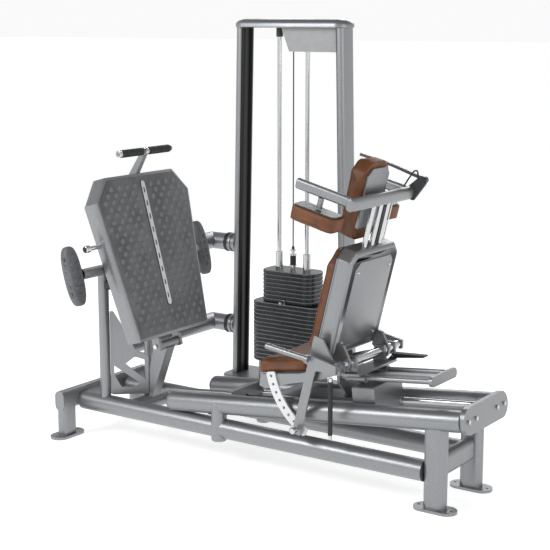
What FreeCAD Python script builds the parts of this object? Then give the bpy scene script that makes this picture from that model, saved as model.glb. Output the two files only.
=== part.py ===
import FreeCAD, Part
import math
import os
import re
import Sketcher

# Leg press machine with a weight stack: a sled of two round rails carries a seat trolley,
# a tilting foot plate stands in front of it, and a weight tower stands beside it.
# Millimetres, +Z up. The origin lies on the floor under the middle of the whole machine.
# +X runs from the foot plate to the back of the sled, +Y from the sled to the weight tower.

doc = FreeCAD.newDocument("LegPress")
sheet = doc.addObject("Spreadsheet::Sheet", "Dims")

DIMENSIONS = {
    # sled: where its middle plane lies, and its round tubes
    "sled_y": -247, "tube_od": 89, "tube_wall": 4, "half_gauge": 162.5,
    "base_z": 158, "base_front": -972, "base_back": 868, "cap_round": 26,
    "rail_z": 284, "rail_slope": 5.915, "rail_front": -450, "rail_back": 1040,
    "cross_x": -690, "cross_od": 76,
    # legs, beams and feet, all of flat oval tube
    "oval_long": 96, "oval_thin": 55, "front_x": -1000, "front_half": 259, "beam_z": 178,
    "leg_x": 918, "leg_long": 100, "leg_thin": 60, "foot_long": 190, "foot_wide": 92,
    "foot_thick": 12, "foot_hole": 6.5, "foot_pitch": 148, "bolt_head": 9, "bolt_tall": 7,
    # guide rods, end plate and front block of the sled
    "rod_gauge": 96, "rod_dia": 25, "rod_rise": 5, "end_thick": 22, "end_wide": 400,
    "end_tall": 112, "block_x": -130, "block_thick": 30, "duct_od": 30, "duct_bore": 16,
    "duct_length": 425, "post_x": -160, "post_od": 70, "post_round": 20,
    "post_under": 55, "tie_under": 45, "plug_thick": 6,
    # tilting foot plate and its posts
    "plate_x": -569, "plate_z": 644, "plate_tilt": -15.52, "plate_low": -134, "plate_high": 627,
    "plate_wide": 520,
    "plate_foot_half": 250, "plate_waist_half": 330, "plate_head_half": 240, "plate_thick": 84,
    "tread_thick": 6, "tread_edge": 14, "plate_round": 26,
    "shell_skin": 5, "stop_long": 116, "stop_high": 735, "stop_od": 42,
    "strip_long": 591, "strip_wide": 28, "pivot_drop": -178, "pivot_back": -72, "pin_dia": 20,
    "lug_y": 75, "lug_thick": 16, "pad_tube_up": 226, "pad_tube_back": -114,
    "pad_tube_od": 48, "pad_y": 461, "pad_long": 270, "pad_wide": 92, "pad_thick": 52,
    "handle_up": 717, "handle_out": 58, "handle_half": 188, "handle_dia": 28,
    "rear_post_x": -836, "rear_post_od": 50, "rear_post_high": 825, "gusset_turn": 40,
    "gusset_long": 203, "gusset_thick": 6,
    # weight tower
    "tower_x": -467, "tower_y": 633, "tower_high": 1908, "upright_top": 295, "upright_foot": 336,
    "upright_thin": 52, "upright_deep": 112, "tower_base_z": 100, "cap_rim": 26, "cap_dome": 40,
    "stack_gauge": 84, "stack_rod": 22, "plate_pitch": 21, "plate_gap": 1, "stack_gap": 0.08,
    "rest_count": 15, "lift_count": 8, "selector_dia": 10, "selector_in": 42, "rest_wide": 420,
    "rest_deep": 190, "lift_wide": 312, "lift_deep": 160, "bush_long": 45, "bush_od": 34,
    "stack_low": 200, "link_x": -985, "link_high": 790, "link_low": 350, "pulley_z": 1820,
    "pulley_r": 35, "rod_short": 66, "clamp_deep": 7, "pulley_wide": 22, "cable_drop_x": 286,
    "cable_dia": 6, "stem_dia": 26,
    # trolley that rolls on the guide rods
    "bearing_od": 37, "fit_gap": 0.05, "rear_block": 505, "front_block": 100, "block_long": 108,
    "block_half": 117, "block_down": 28, "block_up": 100, "deck_thick": 14, "bar_z": 132,
    "bar_y": 90, "bar_dia": 22, "bar_front": 445, "bar_back": 868, "rack_wide": 46,
    # seat and its carrier, which slides along the trolley's bars
    "carrier_front": 470, "carrier_long": 96, "seat_x": 60, "seat_z": 455, "seat_tilt": -9,
    "seat_long": 272, "seat_thick": 58, "seat_half": 200, "pan_thick": 18,
    "pivot_x": 490, "pivot_z": 546, "pivot_od": 40, "pivot_half": 268,
    "sector_y": 223, "pin_angle": -122.8, "index_pin": 12, "sector_r": 343, "sector_step": 6.1,
    "sector_count": 8, "sector_thick": 8, "sector_wide": 44, "sector_hole": 6.5, "arm_y": 240,
    "arm_thick": 10, "arm_wide": 42,
    # backrest, in its own leaning frame: forward is -X, up the back is +Z
    "back_tilt": 14, "back_half": 197, "back_high": 470, "shell_front": -128, "shell_back": -63,
    "cushion_front": -195, "cushion_back": -129, "cushion_low": -8,
    "cushion_high": 460, "bar_u": 672, "bar_n": -104, "bar_tall": 58, "bar_thin": 40,
    "strut_y": 60, "strut_dia": 22, "strut_low": 330, "arm_tip": -378, "arm_tall": 46,
    "arm_thin": 26, "arm_side": 228, "shoulder_low": 532, "shoulder_high": 600,
    "shoulder_front": -362, "shoulder_rear": -137, "shoulder_wide": 108, "head_low": 478,
    "head_high": 825, "head_half": 104, "head_front": -230, "head_back": -137,
    "hub_u": 741, "hub_n": -60, "lever_long": 330,
    "head_neck_half": 78, "head_cut": 45, "head_taper": 130, "head_soft": 18, "board_thick": 10,
}

for row, (alias, amount) in enumerate(DIMENSIONS.items(), start=1):
    sheet.set(f"A{row}", alias)
    sheet.set(f"B{row}", str(amount))
    sheet.setAlias(f"B{row}", alias)
doc.recompute()


def cells(formula):
    """The formula with the sheet's name in front of each of its cells."""
    return re.sub(r"[a-z]\w*", lambda m: "Dims." + m[0] if m[0] in DIMENSIONS else m[0], str(formula))


def amount(formula):
    """What a formula of cells comes to, as a plain number."""
    return float(sheet.evalExpression(cells(formula)))


# Frames: (x, y, z, turn about +Y in degrees). Pieces are drawn in the frame they belong to.
FLOOR = ("0", "sled_y", "0", "0")
RAIL = ("0", "sled_y", "rail_z", "-rail_slope")
PLATE = ("plate_x", "sled_y", "plate_z", "plate_tilt")
TOWER = ("tower_x", "tower_y", "0", "0")
SEAT = ("seat_x", "sled_y", "seat_z", "seat_tilt")
PIVOT = ("pivot_x", "sled_y", "pivot_z", "0")
BACK = ("pivot_x", "sled_y", "pivot_z", "back_tilt")

PLANE_ACROSS = {"x": "YZ_Plane", "y": "XZ_Plane", "z": "XY_Plane"}


def put(thing, frame, x="0", y="0", z="0"):
    """Binds a Placement to a frame, with an offset counted along the frame's own axes."""
    base_x, base_y, base_z, turn = frame
    thing.Placement = FreeCAD.Placement(
        FreeCAD.Vector(), FreeCAD.Rotation(FreeCAD.Vector(0, 1, 0), 1)
    )
    along = f"({x}) * cos({turn}) + ({z}) * sin({turn})"
    up = f"({z}) * cos({turn}) - ({x}) * sin({turn})"
    thing.setExpression("Placement.Base.x", cells(f"{base_x} + {along}"))
    thing.setExpression("Placement.Base.y", cells(f"{base_y} + {y}"))
    thing.setExpression("Placement.Base.z", cells(f"{base_z} + {up}"))
    thing.setExpression("Placement.Rotation.Angle", cells(turn))
    return thing


def new_body(label, frame, at=("0", "0", "0")):
    body = doc.addObject("PartDesign::Body", label)
    body.Label = label
    return put(body, frame, *at)


def new_sketch(body, axis, name):
    """A sketch across one axis, on the body's own origin plane."""
    sketch = body.newObject("Sketcher::SketchObject", f"{body.Name}_{name}")
    plane = next(f for f in body.Origin.OriginFeatures if f.Role == PLANE_ACROSS[axis])
    sketch.AttachmentSupport = [(plane, "")]
    sketch.MapMode = "FlatFace"
    return sketch


def bind(sketch, kind, *args, formula):
    index = sketch.addConstraint(Sketcher.Constraint(kind, *args, amount(formula)))
    sketch.setExpression(f"Constraints[{index}]", cells(formula))


def draw_polygon(sketch, corners):
    """A closed outline whose corners are pairs of formulas."""
    spots = [FreeCAD.Vector(amount(x), amount(y), 0) for x, y in corners]
    first = sketch.GeometryCount
    count = len(corners)
    for i in range(count):
        sketch.addGeometry(Part.LineSegment(spots[i], spots[(i + 1) % count]), False)
    for i in range(count):
        following = first + (i + 1) % count
        sketch.addConstraint(Sketcher.Constraint("Coincident", first + i, 2, following, 1))
    for i, (x, y) in enumerate(corners):
        bind(sketch, "DistanceX", -1, 1, first + i, 1, formula=x)
        bind(sketch, "DistanceY", -1, 1, first + i, 1, formula=y)


def draw_circle(sketch, x, y, radius):
    centre = FreeCAD.Vector(amount(x), amount(y), 0)
    normal = FreeCAD.Vector(0, 0, 1)
    sketch.addGeometry(Part.Circle(centre, normal, amount(radius)), False)
    index = sketch.GeometryCount - 1
    bind(sketch, "Radius", index, formula=radius)
    bind(sketch, "DistanceX", -1, 1, index, 3, formula=x)
    bind(sketch, "DistanceY", -1, 1, index, 3, formula=y)


def draw_slot(sketch, length, width, x="0", y="0", upright=False):
    """A flat oval: two half circles joined by straight sides."""
    radius = amount(width) / 2
    reach = amount(length) / 2 - radius
    middle = FreeCAD.Vector(amount(x), amount(y), 0)
    way = FreeCAD.Vector(0, 1, 0) if upright else FreeCAD.Vector(1, 0, 0)
    side = FreeCAD.Vector(-1, 0, 0) if upright else FreeCAD.Vector(0, 1, 0)
    turn = math.pi / 2 if upright else 0
    ends = [middle + way * reach, middle - way * reach]
    normal = FreeCAD.Vector(0, 0, 1)
    quarter = math.pi / 2
    first = sketch.GeometryCount
    shapes = [
        Part.ArcOfCircle(Part.Circle(ends[0], normal, radius), turn - quarter, turn + quarter),
        Part.LineSegment(ends[0] + side * radius, ends[1] + side * radius),
        Part.ArcOfCircle(Part.Circle(ends[1], normal, radius), turn + quarter, turn + 3 * quarter),
        Part.LineSegment(ends[1] - side * radius, ends[0] - side * radius),
    ]
    sketch.addGeometry(shapes, False)
    for i in range(4):
        following = first + (i + 1) % 4
        sketch.addConstraint(Sketcher.Constraint("Tangent", first + i, 2, following, 1))
    sketch.addConstraint(Sketcher.Constraint("Equal", first, first + 2))
    bind(sketch, "Radius", first, formula=f"({width}) / 2")
    half = f"(({length}) - ({width})) / 2"
    across = ("0", half) if upright else (half, "0")
    for arc, sign in ((first, "+"), (first + 2, "-")):
        bind(sketch, "DistanceX", -1, 1, arc, 3, formula=f"{x} {sign} {across[0]}")
        if arc == first or upright:
            bind(sketch, "DistanceY", -1, 1, arc, 3, formula=f"{y} {sign} {across[1]}")
    return sketch


def pad(body, sketch, axis, length, middle=False, backwards=False):
    """Pads a sketch along +axis, both ways from its plane, or backwards."""
    feature = body.newObject("PartDesign::Pad", f"{sketch.Name}_pad")
    feature.Profile = sketch
    feature.Midplane = middle
    feature.Reversed = (axis == "y") != backwards
    feature.setExpression("Length", cells(length))
    doc.recompute()
    return feature


def pocket(body, sketch, axis, length=None, backwards=False):
    """Cuts a sketch through everything, or to a depth along +axis or backwards."""
    before = body.Shape.Volume
    feature = body.newObject("PartDesign::Pocket", f"{sketch.Name}_pocket")
    feature.Profile = sketch
    if length is None:
        feature.Type = "ThroughAll"
        feature.Midplane = True
    else:
        feature.setExpression("Length", cells(length))
        feature.Reversed = (axis != "y") != backwards
    doc.recompute()
    if not body.Shape.Volume < before - 0.01:
        raise ValueError(f"{feature.Name} cuts nothing")
    return feature


def edges_of(feature, wanted):
    """The names of a feature's edges that a test picks."""
    return [f"Edge{i}" for i, edge in enumerate(feature.Shape.Edges, start=1) if wanted(edge)]


def rounded(body, radius, wanted):
    """Fillets the edges that a test picks, on the body's last feature."""
    base = body.Tip
    names = edges_of(base, wanted)
    if not names:
        raise ValueError(f"{body.Label} has no such edge to round")
    feature = body.newObject("PartDesign::Fillet", f"{body.Name}_round{len(body.Group)}")
    feature.Base = (base, names)
    feature.setExpression("Radius", cells(radius))
    doc.recompute()
    return feature


def runs_along(axis):
    """Picks the straight edges along one axis."""
    index = "xyz".index(axis)

    def wanted(edge):
        return edge.Curve.TypeId == "Part::GeomLine" and abs(edge.tangentAt(0)[index]) > 0.999

    return wanted


def lies_at(axis, formula):
    """Picks the edges that lie flat at one height along an axis."""
    index = "xyz".index(axis)
    spot = amount(formula)
    lows = ("XMin", "YMin", "ZMin")
    highs = ("XMax", "YMax", "ZMax")

    def wanted(edge):
        box = edge.BoundBox
        return max(abs(getattr(box, lows[index]) - spot), abs(getattr(box, highs[index]) - spot)) < 0.01

    return wanted


def tube(label, frame, axis, at, length, outer, inner=None, middle=False):
    """A round bar, or a tube where it has an inner diameter."""
    body = new_body(label, frame, at)
    sketch = new_sketch(body, axis, "section")
    draw_circle(sketch, "0", "0", f"({outer}) / 2")
    if inner is not None:
        draw_circle(sketch, "0", "0", f"({inner}) / 2")
    pad(body, sketch, axis, length, middle)
    return body


def oval(label, frame, axis, at, length, long, thin, upright=False, middle=False, wall=None):
    """A bar of flat oval section, or a tube where it has a wall."""
    body = new_body(label, frame, at)
    sketch = draw_slot(new_sketch(body, axis, "section"), long, thin, upright=upright)
    if wall is not None:
        draw_slot(sketch, f"{long} - 2 * {wall}", f"{thin} - 2 * {wall}", upright=upright)
    pad(body, sketch, axis, length, middle)
    return body


def plate(label, frame, axis, at, thick, corners, corner_round=None, middle=False):
    """A flat plate of any outline, with its outline's corners rounded."""
    body = new_body(label, frame, at)
    sketch = new_sketch(body, axis, "outline")
    draw_polygon(sketch, corners)
    pad(body, sketch, axis, thick, middle)
    if corner_round is not None:
        rounded(body, corner_round, runs_along(axis))
    return body


def rectangle(half_x, half_y, y_low=None):
    """The corners of a rectangle about the sketch's centre, or standing on a line."""
    low = f"-({half_y})" if y_low is None else y_low
    return [
        (f"-({half_x})", low), (f"{half_x}", low),
        (f"{half_x}", half_y), (f"-({half_x})", half_y),
    ]


def turned(label, frame, axis, at, profile):
    """A body of revolution: its profile is pairs of radius and place along the axis."""
    body = new_body(label, frame, at)
    sketch = new_sketch(body, "y" if axis == "z" else "z", "profile")
    draw_polygon(sketch, [(y, x) for x, y in profile] if axis == "x" else profile)
    feature = body.newObject("PartDesign::Revolution", f"{body.Name}_turn")
    feature.Profile = sketch
    feature.ReferenceAxis = (sketch, ["H_Axis" if axis == "x" else "V_Axis"])
    feature.Angle = 360
    doc.recompute()
    return body


def holes(body, axis, radius, spots):
    """Round holes right through a body, at spots in the plane across an axis."""
    sketch = new_sketch(body, axis, f"holes{len(body.Group)}")
    for x, y in spots:
        draw_circle(sketch, x, y, radius)
    pocket(body, sketch, axis)
    return body


def cut(label, base, tools):
    """The base with the tools' shapes taken away."""
    result = base
    for i, tool in enumerate(tools):
        made = doc.addObject("Part::Cut", f"{label}_cut{i}")
        made.Base, made.Tool = result, tool
        result = made
    result.Label = label
    doc.recompute()
    return result


def group(label, members):
    """Several like solids that make one sub-part."""
    made = doc.addObject("Part::Compound", label)
    made.Label = label
    made.Links = members
    return made


subparts = []


def keep(thing):
    subparts.append(thing)
    return thing


SIDES = (("near", "-"), ("far", "+"))

# ---------------------------------------------------------------- sled frame


def base_tubes():
    """Two lower tubes along the sled, the cross tubes between them, and the tie to the tower."""
    members = []
    for side, sign in SIDES:
        at = ("base_front", f"{sign} half_gauge", "base_z")
        length = "base_back - base_front"
        members.append(tube(f"base_tube_{side}", FLOOR, "x", at, length, "tube_od",
                            "tube_od - 2 * tube_wall"))
        at = ("base_back - plug_thick", f"{sign} half_gauge", "base_z")
        members.append(tube(f"base_plug_{side}", FLOOR, "x", at, "plug_thick", "tube_od - 2 * tube_wall"))
    mould = [tube(f"base_mould_{side}", FLOOR, "x", ("base_front", f"{sign} half_gauge", "base_z"),
                  "base_back - base_front", "tube_od") for side, sign in SIDES]
    for name, x, outer in (("front", "cross_x", "cross_od"), ("tie", "tower_x", "oval_thin")):
        reach = "half_gauge" if name == "front" else "tower_y - sled_y - 121"
        start = "-half_gauge" if name == "front" else "half_gauge"
        length = f"{reach} - ({start})"
        z = "base_z" if name == "front" else "base_z - tie_under"
        bar = tube(f"cross_{name}", FLOOR, "y", (x, start, z), length, outer, f"{outer} - 8")
        members.append(cut(f"cross_{name}_fitted", bar, mould))
    rear = oval("cross_rear", FLOOR, "y", ("leg_x", "-half_gauge + leg_thin / 2", "beam_z + 4"),
                "2 * half_gauge - leg_thin", "leg_long", "oval_thin", upright=True, wall="tube_wall")
    return group("base_tubes", members + [rear])


def front_beam():
    """A flat oval beam across the front, on which the lower tubes end."""
    body = oval("front_beam", FLOOR, "y", ("front_x", "0", "beam_z"),
                "2 * front_half + oval_long", "oval_long", "oval_thin", upright=True, middle=True)
    inside = draw_slot(new_sketch(body, "y", "inside"), "oval_long - 8", "oval_thin - 8", upright=True)
    hollow = pocket(body, inside, "y", "2 * front_half + oval_long - 12")
    hollow.Midplane = True
    doc.recompute()
    return body


def legs():
    """Four flat oval legs: two under the front beam, two up to the rails."""
    members = []
    beam = oval("beam_mould", FLOOR, "y", ("front_x", "0", "beam_z"),
                "2 * front_half + 2 * oval_long", "oval_long", "oval_thin", True, True)
    for side, sign in SIDES:
        at = ("front_x", f"{sign} front_half", "foot_thick")
        leg = oval(f"front_leg_{side}", FLOOR, "z", at, "beam_z - foot_thick", "oval_long",
                   "oval_thin", upright=True, wall="tube_wall")
        members.append(cut(f"front_leg_{side}_fitted", leg, [beam]))
        at = ("leg_x", f"{sign} half_gauge", "foot_thick")
        leg = oval(f"rear_leg_{side}", FLOOR, "z", at, "rail_z + 80", "leg_long", "leg_thin",
                   wall="tube_wall")
        rail = tube(f"rail_mould_{side}", RAIL, "x", ("rail_front", f"{sign} half_gauge", "0"),
                    "rail_back - rail_front", "tube_od")
        base = tube(f"tube_mould_{side}", FLOOR, "x", ("base_front", f"{sign} half_gauge", "base_z"),
                    "base_back - base_front", "tube_od")
        members.append(cut(f"rear_leg_{side}_fitted", leg, [rail, base]))
    return group("legs", members)


def foot_plates():
    """Oval plates under the legs, each with two holes for floor anchors."""
    members = []
    for side, sign in SIDES:
        for end, x, y in (("front", "front_x", "front_half"), ("rear", "leg_x", "half_gauge")):
            foot = oval(f"foot_{end}_{side}", FLOOR, "z", (x, f"{sign} {y}", "0"), "foot_thick",
                        "foot_long", "foot_wide", upright=end == "front")
            half = "foot_pitch / 2"
            spots = [("0", half), ("0", f"-{half}")] if end == "front" else [(half, "0"), (f"-{half}", "0")]
            members.append(holes(foot, "z", "foot_hole", spots))
    return group("foot_plates", members)


def rails():
    """Two sloping round rails with domed front ends."""
    members = []
    for side, sign in SIDES:
        body = tube(f"rail_{side}", RAIL, "x", ("rail_front", f"{sign} half_gauge", "0"),
                    "rail_back - rail_front", "tube_od")
        rounded(body, "cap_round", lies_at("x", "0"))
        bore = new_sketch(body, "x", "bore")
        bore.AttachmentOffset = FreeCAD.Placement(
            FreeCAD.Vector(0, 0, amount("tube_wall")), FreeCAD.Rotation()
        )
        bore.setExpression("AttachmentOffset.Base.z", cells("tube_wall + cap_round / 2"))
        draw_circle(bore, "0", "0", "tube_od / 2 - tube_wall")
        pocket(body, bore, "x", "rail_back - rail_front")
        base = tube(f"rail_base_mould_{side}", FLOOR, "x", ("base_front", f"{sign} half_gauge", "base_z"),
                    "base_back - base_front", "tube_od")
        members.append(cut(f"rail_{side}_fitted", body, [base]))
    return group("rails", members)


def guide_rods():
    """Two polished rods between the rails, from the front block to the end plate."""
    members = []
    for side, sign in SIDES:
        members.append(tube(f"guide_rod_{side}", RAIL, "x", ("block_x", f"{sign} rod_gauge", "rod_rise"),
                            "rail_back - block_x", "rod_dia"))
    return group("guide_rods", members)


def rail_end_plate():
    """A flat oval plate that closes the back of the rails and holds the rods."""
    return oval("rail_end_plate", RAIL, "x", ("rail_back", "0", "0"), "end_thick", "end_wide", "end_tall")


def frame_bolts():
    """Bolt heads on the end plate, over the rails and the rods."""
    members = []
    for side, sign in SIDES:
        for name, y in (("rail", "half_gauge"), ("rod", "rod_gauge")):
            at = ("rail_back + end_thick", f"{sign} {y}", "0")
            members.append(tube(f"end_bolt_{name}_{side}", RAIL, "x", at, "bolt_tall", "2 * bolt_head"))
    return group("frame_bolts", members)


def rail_posts():
    """Two short round posts, domed on top, that hold the rails off the lower tubes."""
    members = []
    for side, sign in SIDES:
        y = f"{sign} (half_gauge + 12)"
        post = tube(f"rail_post_{side}", FLOOR, "z", ("post_x", y, "base_z - post_under"),
                    "rail_z - base_z + post_under + 2", "post_od")
        rounded(post, "post_round", lies_at("z", "rail_z - base_z + post_under + 2"))
        rounded(post, "8", lies_at("z", "0"))
        rail = tube(f"post_rail_mould_{side}", RAIL, "x", ("rail_front", f"{sign} half_gauge", "0"),
                    "rail_back - rail_front", "tube_od")
        base = tube(f"post_base_mould_{side}", FLOOR, "x", ("base_front", f"{sign} half_gauge", "base_z"),
                    "base_back - base_front", "tube_od")
        members.append(cut(f"rail_post_{side}_fitted", post, [rail, base]))
    return group("rail_posts", members)


def rod_front_block():
    """The block that holds the front of the rods, and the duct that the sled's cable runs in."""
    body = plate("rod_block", RAIL, "x", ("block_x - block_thick", "0", "rod_rise"), "block_thick",
                 rectangle("half_gauge - tube_od / 2 - 0.2", "40"), "12")
    holes(body, "x", "duct_bore / 2", [("0", "0")])
    duct = tube("cable_duct", RAIL, "x", ("block_x - block_thick - duct_length", "0", "rod_rise"),
                "duct_length", "duct_od", "duct_bore")
    return group("rod_front_block", [body, duct])


# ---------------------------------------------------------------- foot plate and its posts


def plate_posts():
    """Two round posts behind the foot plate, and the leaning post that carries its hinge."""
    members = []
    for side, sign in SIDES:
        at = ("rear_post_x", f"{sign} half_gauge", "base_z")
        post = tube(f"rear_post_{side}", FLOOR, "z", at, "rear_post_high - base_z", "rear_post_od")
        rounded(post, "10", lies_at("z", "rear_post_high - base_z"))
        base = tube(f"plate_post_mould_{side}", FLOOR, "x", ("base_front", f"{sign} half_gauge", "base_z"),
                    "base_back - base_front", "tube_od")
        members.append(cut(f"rear_post_{side}_fitted", post, [base]))
    corners = [("-26", "0"), ("24", "0"), ("122", "262"), ("44", "262")]
    post = plate("front_post", FLOOR, "y", ("cross_x", "0", "base_z + 20"), "60", corners, None, True)
    cross = tube("front_post_mould", FLOOR, "y", ("cross_x", "-half_gauge", "base_z"), "2 * half_gauge",
                 "cross_od")
    boss = tube("hinge_mould", PLATE, "y", ("pivot_back", "0", "pivot_drop"), "lug_y * 2 - lug_thick - 1",
                "44", middle=True)
    members.append(cut("front_post_fitted", post, [cross, boss]))
    barrel = tube("hinge_barrel", PLATE, "y", ("pivot_back", "0", "pivot_drop"),
                  "lug_y * 2 - lug_thick - 2", "44", "pin_dia", middle=True)
    return group("plate_posts", members + [barrel])


def plate_gussets():
    """Two sheets with curved windows that brace the rear posts to the leaning post."""
    members = []
    for side, sign in SIDES:
        body = doc.addObject("PartDesign::Body", f"gusset_{side}")
        body.Label = f"gusset_{side}"
        corners = [("rear_post_od / 2 + 1", "0"), ("gusset_long", "0"), ("gusset_long", "185"),
                   ("gusset_long * 0.7", "215"), ("gusset_long * 0.42", "330"),
                   ("rear_post_od / 2 + 1", "430")]
        sketch = new_sketch(body, "y", "outline")
        draw_polygon(sketch, corners)
        pad(body, sketch, "y", "gusset_thick", middle=True)
        rounded(body, "10", runs_along("y"))
        window = new_sketch(body, "y", "windows")
        draw_polygon(window, [("95", "148"), ("188", "70"), ("188", "165"), ("140", "182")])
        draw_polygon(window, [("42", "140"), ("42", "95"), ("75", "35"), ("135", "35"), ("165", "52")])
        pocket(body, window, "y")
        way = "-" if side == "far" else "+"
        body.Placement = FreeCAD.Placement(FreeCAD.Vector(), FreeCAD.Rotation(FreeCAD.Vector(0, 0, 1), 1))
        body.setExpression("Placement.Base.x", cells("rear_post_x"))
        body.setExpression("Placement.Base.y", cells(f"sled_y {sign} (half_gauge)"))
        body.setExpression("Placement.Base.z", cells("base_z + tube_od / 2 + 1"))
        body.setExpression("Placement.Rotation.Angle", cells(f"{way} gusset_turn"))
        members.append(body)
    return group("plate_gussets", members)


def hinge_pin():
    """The pin that the foot plate tilts on."""
    return tube("hinge_pin", PLATE, "y", ("pivot_back", "0", "pivot_drop"), "lug_y * 2 + lug_thick + 16",
                "pin_dia", middle=True)


def rubber_bumpers():
    """Rings on the tower's tubes, stops behind the foot plate, a bush on the front tower rod."""
    members = []
    for name, z in (("high", "link_high"), ("low", "link_low")):
        at = ("-(upright_foot + 74)", "0", z)
        members.append(tube(f"link_ring_{name}", TOWER, "x", at, "18", "tube_od + 12", "tube_od + 0.2"))
    for side, sign in SIDES:
        at = ("rear_post_x + rear_post_od / 2 - 1", f"{sign} half_gauge", "stop_high")
        stop = tube(f"plate_stop_{side}", FLOOR, "x", at, "stop_long", "stop_od")
        post = tube(f"stop_mould_{side}", FLOOR, "z", ("rear_post_x", f"{sign} half_gauge", "base_z"),
                    "rear_post_high", "rear_post_od")
        members.append(cut(f"plate_stop_{side}_fitted", stop, [post]))
    at = ("-stack_gauge", "0", "tower_high - bush_long - 2")
    members.append(tube("rod_bush", TOWER, "z", at, "bush_long", "bush_od", "stack_rod + 0.2"))
    return group("rubber_bumpers", members)


def link_tubes():
    """Two elbowed tubes that tie the weight tower to the post behind the foot plate."""
    reach = "tower_y - sled_y"
    corner = "(tube_od / 2 + 10)"
    members = []
    for name, z in (("high", "link_high"), ("low", "link_low")):
        share = f"({z} - tower_base_z) / (tower_high - tower_base_z)"
        foot = f"(upright_foot - (upright_foot - upright_top) * {share})"
        stub = tube(f"link_stub_{name}", FLOOR, "x", ("link_x - tube_od / 2", reach, z),
                    f"tower_x - {foot} - upright_thin / 2 - 1 - link_x + tube_od / 2", "tube_od",
                    "tube_od - 2 * tube_wall")
        arm = tube(f"link_arm_{name}", FLOOR, "y", ("link_x", "half_gauge - 40", z),
                   f"{reach} - half_gauge + 40 + tube_od / 2", "tube_od", "tube_od - 2 * tube_wall")
        outer, inner = (f"-{corner}", corner), (corner, f"-{corner}")
        for base, third in ((stub, (f"-{corner}", f"-{corner}")), (arm, (corner, corner))):
            mitre = plate(f"{base.Label}_mitre", FLOOR, "z", ("link_x", reach, f"{z} - {corner}"),
                          f"2 * {corner}", [outer, inner, third])
            members.append(cut(f"{base.Label}_mitred", base, [mitre]))
        tie = tube(f"link_tie_{name}", FLOOR, "x", ("link_x", "half_gauge", f"{z} - 30"),
                   "rear_post_x - link_x", "30")
        moulds = [
            tube(f"tie_arm_mould_{name}", FLOOR, "y", ("link_x", "0", z), reach, "tube_od"),
            tube(f"tie_post_mould_{name}", FLOOR, "z", ("rear_post_x", "half_gauge", "base_z"),
                 "rear_post_high", "rear_post_od"),
        ]
        members.append(cut(f"link_tie_{name}_fitted", tie, moulds))
    return group("link_tubes", members)


def plate_corners(inset):
    """The foot plate's outline: wider upwards, with both top corners cut off."""
    low = f"plate_low + ({inset})"
    high = f"plate_high - ({inset})"
    return [
        (f"-plate_foot_half + ({inset})", low), (f"plate_foot_half - ({inset})", low),
        (f"plate_waist_half - ({inset})", "plate_wide"), (f"plate_head_half - ({inset}) * 0.7", high),
        (f"-plate_head_half + ({inset}) * 0.7", high), (f"-plate_waist_half + ({inset})", "plate_wide"),
    ]


def plate_shell():
    """The foot plate's closed box, hollow inside, with its sides rolled over at the back."""
    body = plate("plate_shell", PLATE, "x", ("-tread_thick - plate_thick", "0", "0"), "plate_thick",
                 plate_corners("0"), "14")
    rounded(body, "plate_round", lies_at("x", "0"))
    for name, inset, start in (("wide", "2 * shell_skin", "plate_round + shell_skin"),
                               ("deep", "plate_round + 2 * shell_skin", "shell_skin")):
        inside = new_sketch(body, "x", name)
        inside.setExpression("AttachmentOffset.Base.z", cells(start))
        draw_polygon(inside, plate_corners(inset))
        pocket(body, inside, "x", f"plate_thick - shell_skin - ({start})")
    bore = new_sketch(body, "y", "knob_bore")
    bore.setExpression("AttachmentOffset.Base.z", "340")
    draw_circle(bore, "tread_thick + plate_thick - 60", "330", "10 + fit_gap")
    pocket(body, bore, "y", "80")
    return body


def plate_tread():
    """The rubber tread, split in the middle for the metal strip."""
    body = plate("plate_tread", PLATE, "x", ("-tread_thick", "0", "0"), "tread_thick",
                 plate_corners("tread_edge"), "10")
    groove = new_sketch(body, "x", "groove")
    draw_slot(groove, "strip_long", "strip_wide", "0", "strip_long / 2", upright=True)
    pocket(body, groove, "x")
    return body


def plate_strip():
    """The slotted metal strip down the middle of the tread."""
    body = oval("plate_strip", PLATE, "x", ("-tread_thick", "0", "strip_long / 2"), "tread_thick + 2",
                "strip_long - 1", "strip_wide - 1", upright=True)
    for i in range(9):
        slot = new_sketch(body, "x", f"slot{i}")
        draw_slot(slot, "26", "8", "0", f"(strip_long - 90) * {i} / 8 - (strip_long - 90) / 2", True)
        pocket(body, slot, "x")
    return body


def plate_brackets():
    """The tube across the plate's back that carries the side pads, and the two hinge lugs."""
    members = [tube("pad_tube", PLATE, "y", ("pad_tube_back", "0", "pad_tube_up"),
                    "2 * pad_y - pad_wide", "pad_tube_od", "pad_tube_od - 6", middle=True)]
    for side, sign in SIDES:
        y = f"{sign} lug_y"
        body = plate(f"hinge_lug_{side}", PLATE, "y", ("pivot_back", y, "pivot_drop"), "lug_thick",
                     [("-24", "-24"), ("24", "-24"), ("26", "43.5"), ("-14", "43.5")], "9", middle=True)
        members.append(holes(body, "y", "pin_dia / 2 + fit_gap", [("0", "0")]))
    return group("plate_brackets", members)


def side_pads():
    """Two long rubber foot pads beside the plate, on the ends of the cross tube."""
    members = []
    for side, sign in SIDES:
        at = ("pad_tube_back - pad_thick / 2", f"{sign} pad_y", "pad_tube_up")
        body = oval(f"side_pad_{side}", PLATE, "x", at, "pad_thick", "pad_long", "pad_wide", upright=True)
        rounded(body, "18", lies_at("x", "pad_thick"))
        rounded(body, "14", lies_at("x", "0"))
        members.append(body)
    return group("side_pads", members)


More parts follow.
